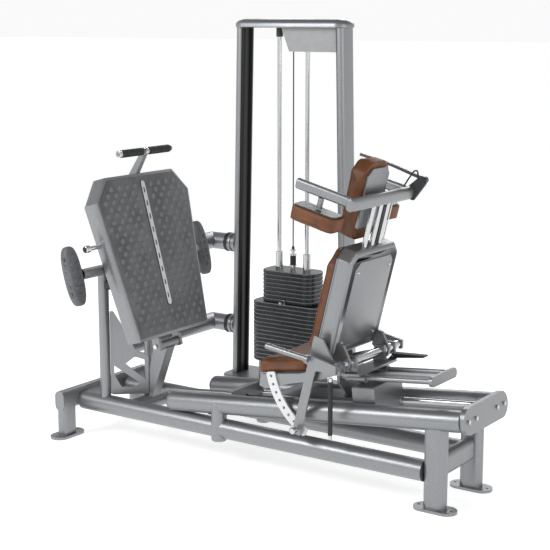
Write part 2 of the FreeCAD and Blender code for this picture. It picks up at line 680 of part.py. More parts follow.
def t_handle():
    """The handle above the plate: a leaning flat post with a cross bar."""
    corners = [("-66", "plate_high"), ("-14", "plate_high"),
               ("handle_out + 2", "handle_up - handle_dia / 2"),
               ("handle_out - 34", "handle_up - handle_dia / 2")]
    post = plate("handle_post", PLATE, "y", ("0", "0", "0"), "26", corners, None, True)
    bar = tube("handle_bar", PLATE, "y", ("handle_out", "0", "handle_up"), "2 * handle_half",
               "handle_dia", middle=True)
    rounded(bar, "6", lies_at("y", "handle_half"))
    rounded(bar, "6", lies_at("y", "-handle_half"))
    mould = tube("handle_mould", PLATE, "y", ("handle_out", "0", "handle_up"), "2 * handle_half",
                 "handle_dia", middle=True)
    return group("t_handle", [cut("handle_post_fitted", post, [mould]), bar])


def tilt_knob():
    """The pull knob beside the plate that frees its tilt."""
    body = tube("tilt_knob", PLATE, "y", ("-60", "-390", "330"), "104", "20")
    sketch = new_sketch(body, "y", "ball")
    draw_circle(sketch, "0", "0", "17")
    pad(body, sketch, "y", "24", backwards=True)
    rounded(body, "6", lies_at("y", "-24"))
    return body


# ---------------------------------------------------------------- weight tower


def tower_base():
    """The low box that the tower stands on, with the stack's seat in its middle."""
    body = plate("tower_foot", TOWER, "z", ("0", "0", "0"), "tower_base_z",
                 rectangle("upright_foot + 52", "120"), "55")
    rounded(body, "8", lies_at("z", "tower_base_z"))
    inside = new_sketch(body, "z", "inside")
    draw_polygon(inside, rectangle("upright_foot + 30", "98"))
    pocket(body, inside, "z", "tower_base_z - 10")
    seat = plate("stack_seat", TOWER, "z", ("0", "0", "tower_base_z"), "stack_low - tower_base_z - 1",
                 rectangle("rest_wide / 2 - 30", "60"), "12")
    return group("tower_base", [body, seat])


def tower_uprights():
    """Two flat oval uprights that splay a little towards the floor."""
    members = []
    for side, sign in (("front", "-"), ("rear", "+")):
        at = (f"{sign} upright_foot", "0", "tower_base_z")
        body = new_body(f"upright_{side}", TOWER, at)
        sketch = new_sketch(body, "z", "section")
        draw_slot(sketch, "upright_deep", "upright_thin", upright=True)
        feature = body.newObject("PartDesign::Pad", f"upright_{side}_pad")
        feature.Profile = sketch
        feature.UseCustomVector = True
        feature.AlongSketchNormal = True
        rise = amount("tower_high - tower_base_z")
        lean = amount("upright_foot - upright_top") / rise
        feature.Direction = FreeCAD.Vector(lean if side == "front" else -lean, 0, 1)
        feature.setExpression("Length", cells("tower_high - tower_base_z"))
        doc.recompute()
        channel = new_sketch(body, "z", "channel")
        closed, open_ = ("-18", "40") if side == "front" else ("-40", "18")
        draw_polygon(channel, [(closed, "-36"), (open_, "-36"), (open_, "36"), (closed, "36")])
        groove = body.newObject("PartDesign::Pocket", f"upright_{side}_groove")
        groove.Profile = channel
        groove.UseCustomVector = True
        groove.AlongSketchNormal = True
        groove.Direction = FreeCAD.Vector(lean if side == "front" else -lean, 0, 1)
        groove.setExpression("Length", cells("tower_high - tower_base_z"))
        doc.recompute()
        if not body.Shape.Volume < feature.Shape.Volume * 0.8:
            raise ValueError(f"{groove.Name} cuts nothing")
        members.append(body)
    return group("tower_uprights", members)


def tower_cap():
    """The oval cap over both uprights: a rim and a low dome."""
    rim = oval("cap_rim", TOWER, "z", ("0", "0", "tower_high"), "cap_rim",
               "2 * upright_top + upright_thin + 40", "upright_deep + 44")
    rounded(rim, "6", lies_at("z", "0"))
    dome = oval("cap_dome", TOWER, "z", ("0", "0", "tower_high + cap_rim"), "cap_dome",
                "2 * upright_top + upright_thin + 22", "upright_deep + 26")
    rounded(dome, "cap_dome - 4", lies_at("z", "cap_dome"))
    return group("tower_cap", [rim, dome])


def pulley_cover():
    """The sheet plate under the cap that carries both pulleys."""
    reach = "upright_top - upright_thin / 2 - 4"
    corners = [("-60", "0"), (reach, "0"), (reach, "-118"), ("-12", "-118")]
    body = plate("cover_plate", TOWER, "y", ("0", "-(pulley_wide / 2 + 12)", "tower_high - 1"), "5",
                 corners, "3")
    members = [body]
    for i, x in enumerate(("pulley_r", "cable_drop_x - pulley_r")):
        at = (x, "-(pulley_wide / 2 + 7)", "pulley_z")
        members.append(tube(f"pulley_axle{i}", TOWER, "y", at, "pulley_wide + 14", "16"))
    clamp = plate("rod_clamp", TOWER, "y", ("stack_gauge", "-(stack_rod / 2 + clamp_deep)",
                                            "tower_high - rod_short - 42"),
                  "clamp_deep", [("-stack_rod / 2 + 1", "0"), ("stack_rod / 2", "0"), ("stack_rod / 2", "40"),
                                 ("-stack_rod / 2 + 1", "40")])
    return group("pulley_cover", members + [clamp])


def pulley(label, x, radius):
    """A grooved pulley on its own axle."""
    body = tube(label, TOWER, "y", (x, "-(pulley_wide / 2)", "pulley_z"), "pulley_wide", f"2 * ({radius})",
                "16 + 2 * fit_gap")
    return body


def tower_rods():
    """Two polished rods that guide the stack."""
    members = []
    for side, sign, short in (("front", "-", "0"), ("rear", "+", "rod_short")):
        at = (f"{sign} stack_gauge", "0", "stack_low - 1")
        length = f"tower_high - stack_low + 1 - {short}"
        members.append(tube(f"tower_rod_{side}", TOWER, "z", at, length, "stack_rod"))
    return group("tower_rods", members)


def weight_plate(label, z, wide, deep, bore):
    body = plate(label, TOWER, "z", ("0", "0", z), "plate_pitch - plate_gap",
                 rectangle(f"{wide} / 2", f"{deep} / 2"), "34")
    holes(body, "z", "stack_rod / 2 + stack_gap", [("stack_gauge", "0"), ("-stack_gauge", "0")])
    if bore:
        holes(body, "z", "stem_dia / 2 + 1", [("0", "0")])
    return body


def resting_plates():
    """The heavier plates left standing under the pinned ones."""
    count = DIMENSIONS["rest_count"]
    return group("resting_plates", [
        weight_plate(f"rest_plate{i}", f"stack_low + {i} * plate_pitch", "rest_wide", "rest_deep", True)
        for i in range(count)
    ])


def lifted_plates():
    """The upper plates, which the pin ties to the cable."""
    count = DIMENSIONS["lift_count"]
    start = "stack_low + rest_count * plate_pitch"
    made = [
        weight_plate(f"lift_plate{i}", f"{start} + {i} * plate_pitch", "lift_wide", "lift_deep", False)
        for i in range(count)
    ]
    bore = new_sketch(made[0], "y", "selector_bore")
    bore.setExpression("AttachmentOffset.Base.z", cells("lift_deep / 2"))
    draw_circle(bore, "0", "plate_pitch / 2", "selector_dia / 2 + fit_gap")
    pocket(made[0], bore, "y", "selector_in + 1")
    return group("lifted_plates", made)


def stack_stem():
    """The drawbar's eye on top of the stack, with the two bushes that ride the rods."""
    top = "stack_low + (rest_count + lift_count) * plate_pitch - plate_gap"
    members = [tube("stem", TOWER, "z", ("0", "0", top), "70", "stem_dia")]
    members.append(tube("stem_nut", TOWER, "z", ("0", "0", f"{top} + 70"), "26", "18"))
    for side, sign in (("front", "-"), ("rear", "+")):
        members.append(tube(f"stack_bush_{side}", TOWER, "z", (f"{sign} stack_gauge", "0", top), "88",
                            "40", "stack_rod + 2 * stack_gap"))
    return group("stack_stem", members)


def stack_cable():
    """The steel cable from the stack's eye up to the first pulley."""
    low = "stack_low + (rest_count + lift_count) * plate_pitch - plate_gap + 96"
    return tube("stack_cable", TOWER, "z", ("0", "0", low), f"pulley_z - ({low})", "cable_dia")


def top_cable():
    """The rest of the cable: over both pulleys, then down inside the rear upright's channel."""
    x0, y0 = amount("tower_x"), amount("tower_y")
    radius, level = amount("pulley_r"), amount("pulley_z")
    drop = x0 + amount("cable_drop_x")
    low = FreeCAD.Vector(x0 + amount("upright_foot - 8"), y0, amount("tower_base_z"))
    corner = radius * (1 - math.sqrt(0.5))

    def spot(x, z):
        return FreeCAD.Vector(x, y0, level + z)

    path = Part.Wire([
        Part.Arc(spot(x0, 0), spot(x0 + corner, radius - corner), spot(x0 + radius, radius)).toShape(),
        Part.LineSegment(spot(x0 + radius, radius), spot(drop - radius, radius)).toShape(),
        Part.Arc(spot(drop - radius, radius), spot(drop - corner, radius - corner), spot(drop, 0)).toShape(),
        Part.LineSegment(spot(drop, 0), low).toShape(),
    ])
    ring = Part.Circle(spot(x0, 0), FreeCAD.Vector(0, 0, 1), amount("cable_dia") / 2).toShape()
    made = doc.addObject("Part::Feature", "top_cable")
    made.Label = "top_cable"
    made.Shape = path.makePipeShell([Part.Wire([ring])], True, False, 0)
    section = math.pi * (amount("cable_dia") / 2) ** 2
    if abs(made.Shape.Volume / (section * path.Length) - 1) > 0.02:
        raise ValueError(f"the cable's volume {made.Shape.Volume} doesn't match its length {path.Length}")
    return made


def selector_pin():
    """The pin that picks how many plates are lifted."""
    z = "stack_low + rest_count * plate_pitch + plate_pitch / 2"
    body = tube("selector_pin", TOWER, "y", ("0", "-(lift_deep / 2 + 9)", z), "8", "20")
    sketch = new_sketch(body, "y", "grip")
    draw_circle(sketch, "0", "0", "8")
    pad(body, sketch, "y", "34", backwards=True)
    rounded(body, "3", lies_at("y", "-34"))
    shank = new_sketch(body, "y", "shank")
    draw_circle(shank, "0", "0", "selector_dia / 2")
    pad(body, shank, "y", "9 + selector_in")
    return body


# ---------------------------------------------------------------- trolley


def trolley_block():
    """The welded trolley: two bearing blocks, a deck between them, and the stand for the slide bars."""
    members = []
    for name, x in (("front", "front_block"), ("rear", "rear_block")):
        high = "block_up" if name == "rear" else "45"
        body = plate(f"block_{name}", RAIL, "x", (x, "0", "rod_rise"), "block_long",
                     rectangle("block_half", high, "-block_down"), "10")
        holes(body, "x", "bearing_od / 2", [("rod_gauge", "0"), ("-rod_gauge", "0")])
        members.append(body)
    deck = plate("trolley_deck", RAIL, "z", ("front_block + block_long", "0", "rod_rise + 24"), "deck_thick",
                 [("0", "-70"), ("rear_block - front_block - block_long", "-70"),
                  ("rear_block - front_block - block_long", "70"), ("0", "70")])
    members.append(deck)
    stand = plate("bar_stand", RAIL, "x", ("bar_front - 14", "0", "0"), "14",
                  [("-60", "rod_rise + 24 + deck_thick"), ("60", "rod_rise + 24 + deck_thick"),
                   ("110", "rod_rise + bar_z - 20"), ("110", "rod_rise + bar_z + 18"),
                   ("-110", "rod_rise + bar_z + 18"), ("-110", "rod_rise + bar_z - 20")], "6")
    members.append(stand)
    return group("trolley_block", members)


def trolley_bearings():
    """Four linear bearings that run on the rods."""
    members = []
    for name, x in (("front", "front_block"), ("rear", "rear_block")):
        for side, sign in SIDES:
            at = (f"{x} - 5", f"{sign} rod_gauge", "rod_rise")
            members.append(tube(f"bearing_{name}_{side}", RAIL, "x", at, "block_long + 10", "bearing_od",
                                "rod_dia + 2 * fit_gap"))
    return group("trolley_bearings", members)


def slide_bars():
    """The bars behind the seat: two round ones, the toothed one between them, and their end plate."""
    members = []
    for side, sign in SIDES:
        at = ("bar_front", f"{sign} bar_y", "rod_rise + bar_z")
        members.append(tube(f"slide_bar_{side}", RAIL, "x", at, "bar_back - bar_front", "bar_dia"))
    rack = plate("slide_rack", RAIL, "z", ("bar_front", "0", "rod_rise + bar_z - 6"), "12",
                 [("0", "-rack_wide / 2"), ("bar_back - bar_front", "-rack_wide / 2"),
                  ("bar_back - bar_front", "rack_wide / 2"), ("0", "rack_wide / 2")])
    members.append(rack)
    end = oval("slide_end", RAIL, "x", ("bar_back", "0", "rod_rise + bar_z"), "14", "2 * bar_y + 44", "42")
    members.append(end)
    pillar = plate("rack_pillar", RAIL, "x", ("rear_block + 72", "0", "0"), "30",
                   [("-20", "rod_rise + block_up"), ("20", "rod_rise + block_up"),
                    ("20", "rod_rise + bar_z - 6"), ("-20", "rod_rise + bar_z - 6")])
    members.append(pillar)
    return group("slide_bars", members)


def sled_cable():
    """The cable that pulls the trolley, and slides out of its duct."""
    start = "block_x - block_thick - duct_length + 8"
    return tube("sled_cable", RAIL, "x", (start, "0", "rod_rise"), f"front_block - ({start})", "cable_dia")


def seat_lever():
    """The paddle behind the seat that frees it to slide."""
    at = ("carrier_front + carrier_long + 6", "139", "rod_rise + bar_z + 52")
    body = plate("seat_lever", RAIL, "y", at, "34",
                 [("-14", "-9"), ("14", "-9"), ("150", "-4"), ("158", "2"), ("150", "5"), ("0", "12")],
                 "1.5", middle=True)
    holes(body, "y", "5 + fit_gap", [("0", "0")])
    return body


# ---------------------------------------------------------------- seat


def seat_carrier():
    """The slider on the bars with its lugs for the pivot tube, the side arms and the pan."""
    members = []
    for side, sign in SIDES:
        at = ("carrier_front", f"{sign} bar_y", "rod_rise + bar_z")
        members.append(tube(f"carrier_bush_{side}", RAIL, "x", at, "carrier_long", "38",
                            "bar_dia + 2 * fit_gap"))
    top = plate("carrier_top", RAIL, "z", ("carrier_front", "0", "rod_rise + bar_z + 19.2"), "10",
                [("0", "-150"), ("carrier_long", "-150"), ("carrier_long", "150"), ("0", "150")])
    members.append(top)
    for side, sign in SIDES:
        lug = plate(f"pivot_lug_{side}", PIVOT, "y", ("0", f"{sign} 118", "0"), "16",
                    [("-30", "-60"), ("34", "-60"), ("24", "26"), ("-24", "26")], None, True)
        holes(lug, "y", "pivot_od / 2", [("0", "0")])
        plane = plate(f"lug_mould_{side}", RAIL, "z", ("0", "0", "-200"), "rod_rise + bar_z + 229.2",
                      [("0", "-300"), ("900", "-300"), ("900", "300"), ("0", "300")])
        members.append(cut(f"pivot_lug_{side}_fitted", lug, [plane]))
    at = ("carrier_front + carrier_long", "139 + 24", "rod_rise + bar_z + 29.2")
    ear = plate("lever_ear", RAIL, "y", at, "8",
                [("-40", "0"), ("-2", "0"), ("18", "16"), ("14", "32"), ("-6", "32")], None, middle=True)
    hinge = tube("lever_axle", RAIL, "y", ("carrier_front + carrier_long + 6", "139 - 18",
                                           "rod_rise + bar_z + 52"), "38", "10")
    members += [ear, hinge]
    wing = plate("lever_wing", RAIL, "z", ("carrier_front + 50", "150", "rod_rise + bar_z + 19.2"), "10",
                 [("0", "0"), ("46", "0"), ("46", "17"), ("0", "17")])
    members.append(wing)
    pan = plate("seat_pan", SEAT, "z", ("8", "0", "-pan_thick - 0.4"), "pan_thick",
                [("0", "-190"), ("seat_long - 20", "-190"), ("seat_long - 20", "190"), ("0", "190")], "14")
    members.append(pan)
    for side, sign in SIDES:
        y = f"{sign} 212"
        arm = plate(f"seat_arm_{side}", PIVOT, "y", ("0", y, "0"), "14",
                    [("-398", "-140"), ("-392", "-88"), ("-190", "-56"), ("-130", "-36"), ("-24", "-8"),
                     ("-24", "24"), ("24", "24"), ("24", "-24"), ("-120", "-78"), ("-250", "-110"),
                     ("-370", "-148")],
                    "4", middle=True)
        holes(arm, "y", "pivot_od / 2", [("0", "0")])
        members.append(arm)
    return group("seat_carrier", members)


def pivot_tube():
    """The tube across the carrier that the backrest turns on."""
    return tube("pivot_tube", PIVOT, "y", ("0", "0", "0"), "2 * pivot_half", "pivot_od", middle=True)


def sector_plate():
    """The arc with index holes that the backrest's pin drops into."""
    body = new_body("sector_plate", PIVOT, ("0", "-sector_y", "0"))
    sketch = new_sketch(body, "y", "arc")
    start = "-168.5"
    sweep = "sector_step * (sector_count - 1) + 9"
    low = math.radians(amount(start))
    high = math.radians(amount(f"{start} + {sweep}"))
    inner = amount("sector_r - sector_wide / 2")
    outer = amount("sector_r + sector_wide / 2")
    centre = FreeCAD.Vector()
    normal = FreeCAD.Vector(0, 0, 1)

    def spot(radius, angle):
        return FreeCAD.Vector(radius * math.cos(angle), radius * math.sin(angle), 0)

    sketch.addGeometry([
        Part.ArcOfCircle(Part.Circle(centre, normal, outer), low, high),
        Part.LineSegment(spot(outer, high), spot(inner, high)),
        Part.ArcOfCircle(Part.Circle(centre, normal, inner), low, high),
        Part.LineSegment(spot(inner, low), spot(outer, low)),
    ], False)
    for one, one_end, other, other_end in ((0, 2, 1, 1), (1, 2, 2, 2), (2, 1, 3, 1), (3, 2, 0, 1)):
        sketch.addConstraint(Sketcher.Constraint("Coincident", one, one_end, other, other_end))
    for arc in (0, 2):
        sketch.addConstraint(Sketcher.Constraint("Coincident", arc, 3, -1, 1))
    bind(sketch, "Radius", 0, formula="sector_r + sector_wide / 2")
    bind(sketch, "Radius", 2, formula="sector_r - sector_wide / 2")
    for arc_end, angle in ((1, start), (2, f"{start} + {sweep}")):
        bind(sketch, "DistanceX", -1, 1, 0, arc_end,
             formula=f"(sector_r + sector_wide / 2) * cos({angle})")
        bind(sketch, "DistanceX", -1, 1, 2, arc_end,
             formula=f"(sector_r - sector_wide / 2) * cos({angle})")
    pad(body, sketch, "y", "sector_thick", middle=True)
    rounded(body, "9", runs_along("y"))
    angles = [f"(pin_angle - sector_step * {i})" for i in range(DIMENSIONS["sector_count"])]
    spots = [(f"sector_r * cos({angle})", f"sector_r * sin({angle})") for angle in angles]
    return holes(body, "y", "sector_hole", spots)


def seat_cushion():
    """The seat cushion."""
    body = plate("seat_cushion", SEAT, "z", ("0", "0", "0"), "seat_thick",
                 [("0", "-seat_half"), ("seat_long", "-seat_half"), ("seat_long", "seat_half"),
                  ("0", "seat_half")], "26")
    rounded(body, "16", lies_at("z", "seat_thick"))
    return body


def hand_grips():
    """The two rods beside the seat that the hands hold, each on a bracket of the pivot tube."""
    members = []
    for side, sign in SIDES:
        grip = tube(f"grip_{side}", ("pivot_x", "sled_y", "pivot_z", "8"), "x", ("-318", f"{sign} 296", "20"),
                    "214", "26")
        rounded(grip, "7", lies_at("x", "0"))
        members.append(grip)
        bracket = plate(f"grip_bracket_{side}", PIVOT, "y", ("0", f"{sign} 276", "0"), "14",
                        [("-132", "14"), ("-132", "46"), ("-100", "46"), ("24", "20"), ("24", "-20"),
                         ("-20", "-20")], "4", middle=True)
        members.append(bracket)
    return group("hand_grips", members)


# ---------------------------------------------------------------- backrest


def back_frame():
    """The long arm with the pin, the ties from the pivot tube, and the lugs that turn on it."""
    members = []
    pin_n = "sector_r * cos(pin_angle + back_tilt)"
    pin_u = "sector_r * sin(pin_angle + back_tilt)"
    near, far = f"{pin_n} - arm_wide / 2", f"{pin_n} + arm_wide / 2"
    arm = plate("index_arm", BACK, "y", ("0", "-arm_y", "0"), "arm_thick",
                [(near, f"{pin_u} - 28"), (far, f"{pin_u} - 28"), (far, "-50"), ("-24", "-26"),
                 ("26", "-26"), ("26", "24"), ("-24", "26"), (far, "96"), (near, "96")], "9", middle=True)
    holes(arm, "y", "index_pin / 2 + fit_gap", [(pin_n, pin_u)])
    holes(arm, "y", "pivot_od / 2 + fit_gap", [("0", "0")])
    spacer = tube("arm_spacer", BACK, "y", (pin_n, "-(arm_y - arm_thick / 2)", "66"),
                  "arm_y - arm_thick / 2 - back_half", "30")
    members.append(spacer)
    members.append(arm)
    for side, sign in SIDES:
        y = f"{sign} 160"
        lug = plate(f"back_lug_{side}", BACK, "y", ("0", y, "0"), "14",
                    [("-24", "-24"), ("24", "-24"), ("24", "10"), ("-30", "72"), ("shell_back", "72"),
                     ("shell_back", "0")], None, middle=True)
        holes(lug, "y", "pivot_od / 2 + fit_gap", [("0", "0")])
        members.append(lug)
    return group("back_frame", members)


def back_shell():
    """The backrest's box shell, its top corners cut off and its rear edges rolled."""
    half = "back_half"
    corners = [(f"-{half}", "2"), (half, "2"), (half, "back_high - 42"), (f"{half} - 42", "back_high"),
               (f"-{half} + 42", "back_high"), (f"-{half}", "back_high - 42")]
    body = plate("back_shell", BACK, "x", ("shell_front", "0", "0"), "shell_back - shell_front", corners, "9")
    rounded(body, "20", lies_at("x", "shell_back - shell_front"))
    hollow = new_sketch(body, "x", "hollow")
    draw_polygon(hollow, [(f"-{half} + 7", "9"), (f"{half} - 7", "9"), (f"{half} - 7", "back_high - 52"),
                          (f"{half} - 52", "back_high - 7"), (f"-{half} + 52", "back_high - 7"),
                          (f"-{half} + 7", "back_high - 52")])
    pocket(body, hollow, "x", "shell_back - shell_front - 6")
    slots = new_sketch(body, "z", "strut_holes")
    slots.AttachmentOffset = FreeCAD.Placement(FreeCAD.Vector(0, 0, 400), FreeCAD.Rotation())
    slots.setExpression("AttachmentOffset.Base.z", cells("back_high - 20"))
    for y in ("strut_y", "-strut_y", "0"):
        draw_circle(slots, "bar_n - shell_front + 6", y, "strut_dia / 2 + 1")
    pocket(body, slots, "z", "60")
    return body


def back_cushion():
    """The backrest cushion, on the shell's open front."""
    half = "back_half - 4"
    body = plate("back_cushion", BACK, "x", ("cushion_front", "0", "0"), "cushion_back - cushion_front",
                 [(f"-({half})", "cushion_low"), (half, "cushion_low"), (half, "cushion_high - 70"),
                  (f"{half} - 55", "cushion_high"), (f"-({half}) + 55", "cushion_high"),
                  (f"-({half})", "cushion_high - 70")], "30")
    rounded(body, "18", lies_at("x", "0"))
    return body


def recline_pin():
    """The spring pin with its knob that holds the backrest in one of the sector's holes."""
    at = ("sector_r * cos(pin_angle)", "-(sector_y + sector_thick / 2 + 0.4)", "sector_r * sin(pin_angle)")
    shank = "index_pin / 2"
    return turned("recline_pin", PIVOT, "y", at,
                  [("0", "0"), (shank, "0"), (shank, "-30"), ("9", "-30"), ("9", "-36"), ("15", "-40"),
                   ("15", "-58"), ("11", "-62"), ("0", "-62")])


# ---------------------------------------------------------------- head and shoulder unit


def crossbar():
    """The flat oval bar across the top of the backrest."""
    body = oval("crossbar", BACK, "y", ("bar_n", "0", "bar_u"), "2 * arm_side + 2 * bar_thin / 2",
                "bar_tall", "bar_thin", upright=True, middle=True)
    rounded(body, "8", lies_at("y", "arm_side + bar_thin / 2"))
    rounded(body, "8", lies_at("y", "-(arm_side + bar_thin / 2)"))
    return body


def struts():
    """Three sliding bars that carry the crossbar out of the shell."""
    members = []
    for name, y in (("near", "-strut_y"), ("middle", "0"), ("far", "strut_y")):
        bar = tube(f"strut_{name}", BACK, "z", ("bar_n + 6", y, "strut_low"), "bar_u - strut_low",
                   "strut_dia")
        mould = oval(f"strut_mould_{name}", BACK, "y", ("bar_n", "0", "bar_u"), "600", "bar_tall", "bar_thin",
                     True, True)
        members.append(cut(f"strut_{name}_fitted", bar, [mould]))
    return group("struts", members)


def arms():
    """The two arms over the shoulders, with the stems that the pads hang on."""
    members = []
    for side, sign in SIDES:
        y = f"{sign} arm_side"
        bar = oval(f"arm_{side}", BACK, "x", ("arm_tip", y, "bar_u + 6"), "bar_n - arm_tip", "arm_tall",
                   "arm_thin", upright=True)
        rounded(bar, "8", lies_at("x", "0"))
        mould = oval(f"arm_mould_{side}", BACK, "y", ("bar_n", "0", "bar_u"), "600", "bar_tall", "bar_thin",
                     True, True)
        members.append(cut(f"arm_{side}_fitted", bar, [mould]))
        stem = tube(f"pad_stem_{side}", BACK, "z", ("(shoulder_front + shoulder_rear) / 2", y,
                                                    "shoulder_high + 10"),
                    "bar_u + 6 - arm_tall / 2 - shoulder_high - 10", "24")
        members.append(stem)
    return group("arms", members)


def shoulder_pad(side, sign):
    """A shoulder cushion, under its plate."""
    y = f"{sign} arm_side"
    body = plate(f"shoulder_pad_{side}", BACK, "z", ("shoulder_front", y, "shoulder_low"),
                 "shoulder_high - shoulder_low",
                 [("0", "-shoulder_wide / 2"), ("shoulder_rear - shoulder_front", "-shoulder_wide / 2"),
                  ("shoulder_rear - shoulder_front", "shoulder_wide / 2"), ("0", "shoulder_wide / 2")], "30")
    rounded(body, "14", lies_at("z", "0"))
    return body


def pad_plate(side, sign):
    """The plate on a shoulder cushion, with the knuckle that lets it tilt."""
    y = f"{sign} arm_side"
    body = plate(f"pad_plate_{side}", BACK, "z", ("shoulder_front + 14", y, "shoulder_high + 0.3"), "5",
                 [("0", "-42"), ("shoulder_rear - shoulder_front - 28", "-42"),
                  ("shoulder_rear - shoulder_front - 28", "42"), ("0", "42")], "18")
    return body


def headrest():
    """The tall head cushion, narrower at the neck."""
    half, neck, cut_off = "head_half", "head_neck_half", "head_cut"
    right = [(neck, "head_low"), (half, "head_low + head_taper"), (half, f"head_high - {cut_off}"),
             (f"{half} - {cut_off}", "head_high")]
    left = [(f"-({across})", up) for across, up in reversed(right)]
    body = plate("headrest", BACK, "x", ("head_front", "0", "0"),
                 "head_back - head_front - board_thick - 0.4", right + left, "30")
    rounded(body, "head_soft", lies_at("x", "0"))
    return body


def headrest_plate():
    """The plate that bolts the head cushion to the crossbar."""
    return plate("headrest_plate", BACK, "x", ("head_back - board_thick", "0", "0"), "board_thick",
                 [("-84", "head_low + 60"), ("84", "head_low + 60"), ("84", "head_high - 60"),
                  ("56", "head_high - 30"), ("-56", "head_high - 30"), ("-84", "head_high - 60")], "8")


def lever_bracket():
    """The bracket on the crossbar's far end that carries the hand lever."""
    at = ("hub_n", "arm_side + bar_thin / 2 + 5.2", "hub_u")
    body = plate("lever_bracket", BACK, "y", at, "10",
                 [("-64", "-98"), ("-20", "-98"), ("18", "-12"), ("18", "16"), ("-14", "16"), ("-58", "-42")],
                 "7", middle=True)
    sketch = new_sketch(body, "y", "axle")
    draw_circle(sketch, "0", "0", "5")
    pad(body, sketch, "y", "24")
    return body


def release_lever():
    """The hand lever that frees the head and shoulder unit to slide."""
    at = ("hub_n", "arm_side + bar_thin / 2 + 10.6", "hub_u")
    body = new_body("release_lever", BACK, at)
    hub = new_sketch(body, "y", "hub")
    draw_circle(hub, "0", "0", "15")
    pad(body, hub, "y", "16")
    bar = new_sketch(body, "y", "bar")
    draw_polygon(bar, [("-lever_long", "6"), ("-lever_long", "18"), ("-lever_long * 0.5", "20"), ("-6", "10"),
                       ("-6", "-4"), ("-lever_long * 0.5", "8")])
    pad(body, bar, "y", "12")
    holes(body, "y", "5 + fit_gap", [("0", "0")])
    return body


for make in (
    base_tubes, front_beam, legs, foot_plates, rails, guide_rods, rail_end_plate, frame_bolts,
    rail_posts, rod_front_block, plate_posts, plate_gussets, hinge_pin, rubber_bumpers, link_tubes,
    tower_base, tower_uprights, tower_cap, pulley_cover, tower_rods, resting_plates,
    plate_shell, plate_tread, plate_strip, plate_brackets, side_pads, t_handle, tilt_knob,
    lifted_plates, stack_stem, stack_cable, top_cable, selector_pin,
    trolley_block, trolley_bearings, slide_bars, sled_cable, seat_lever,
    seat_carrier, pivot_tube, sector_plate, seat_cushion, hand_grips,
    back_frame, back_shell, back_cushion, recline_pin,
    crossbar, struts, arms, headrest, headrest_plate, lever_bracket, release_lever,
):
    keep(make())
for pad_side, pad_sign in SIDES:
    keep(shoulder_pad(pad_side, pad_sign))
    keep(pad_plate(pad_side, pad_sign))
keep(pulley("pulley_inner", "pulley_r", "pulley_r - cable_dia / 2 - 0.3"))
keep(pulley("pulley_outer", "cable_drop_x - pulley_r", "pulley_r - cable_dia / 2 - 0.3"))

doc.recompute()
for thing in doc.Objects:
    if any(word in thing.State for word in ("Invalid", "Error")):
        raise ValueError(f"{thing.Label} failed: {thing.State}")
os.makedirs("parts", exist_ok=True)
for thing in subparts:
    if thing.Shape.isNull() or not thing.Shape.isValid() or not thing.Shape.Solids:
        raise ValueError(f"{thing.Label} has no sound shape")
    thing.Shape.exportStep(f"parts/{thing.Label}.step")
print(len(subparts), "sub-parts written")
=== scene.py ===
import math
import bmesh
import bpy
from mathutils import Matrix, Vector
from mathutils.bvhtree import BVHTree


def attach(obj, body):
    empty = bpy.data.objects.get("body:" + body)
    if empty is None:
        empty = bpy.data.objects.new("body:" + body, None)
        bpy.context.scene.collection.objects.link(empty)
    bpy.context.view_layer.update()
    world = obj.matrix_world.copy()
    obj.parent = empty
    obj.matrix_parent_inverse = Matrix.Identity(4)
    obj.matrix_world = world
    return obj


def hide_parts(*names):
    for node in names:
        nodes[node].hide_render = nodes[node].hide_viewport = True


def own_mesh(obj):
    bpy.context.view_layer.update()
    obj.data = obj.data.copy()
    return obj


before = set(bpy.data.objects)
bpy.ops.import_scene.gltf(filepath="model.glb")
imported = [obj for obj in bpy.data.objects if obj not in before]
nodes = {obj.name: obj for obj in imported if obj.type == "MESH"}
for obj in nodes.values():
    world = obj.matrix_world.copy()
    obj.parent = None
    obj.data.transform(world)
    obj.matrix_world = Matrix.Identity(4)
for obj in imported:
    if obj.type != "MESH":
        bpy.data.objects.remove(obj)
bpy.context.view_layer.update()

# ---------------------------------------------------------------- camera, floor and light
# A studio sweep: a pale floor, one big soft box on the left, a smaller one on the right and a
# long strip behind, so that the round tubes show a soft bright line and a darker side.
LOOK_DOWN, LOOK_ROUND = 10.85, 34.4
camera = bpy.data.objects.new("camera", bpy.data.cameras.new("camera"))
bpy.context.scene.collection.objects.link(camera)
camera.location = (3.32, -5.0625, 1.965)
camera.rotation_euler = (math.radians(90 - LOOK_DOWN), 0, math.radians(LOOK_ROUND))
camera.data.sensor_width = 36
camera.data.lens = 88.6
bpy.context.scene.camera = camera


def colour(hex_code):
    """An sRGB hex value as linear red, green, blue and alpha."""
    parts = [int(hex_code[i:i + 2], 16) / 255 for i in (1, 3, 5)]
    linear = [p / 12.92 if p <= 0.04045 else ((p + 0.055) / 1.055) ** 2.4 for p in parts]
    return (*linear, 1.0)


def add_node(tree, kind, settings=None, links=None):
    """Adds one node: settings are its properties or its sockets' values, links its inputs."""
    made = tree.nodes.new(kind)
    for name, value in (settings or {}).items():
        if isinstance(name, str) and name[0].islower():
            setattr(made, name, value)
        else:
            made.inputs[name].default_value = value
    for name, source in (links or {}).items():
        tree.links.new(source, made.inputs[name])
    return made


def new_material(name):
    """An empty material: its node tree and its Principled shader."""
    made = bpy.data.materials.new(name)
    made.use_nodes = True
    return made, made.node_tree, made.node_tree.nodes["Principled BSDF"]


def wire(tree, shader, inputs):
    """Sets a shader's inputs: another node's output is linked, anything else is the value."""
    for name, value in inputs.items():
        if isinstance(value, bpy.types.NodeSocket):
            tree.links.new(value, shader.inputs[name])
        else:
            shader.inputs[name].default_value = value


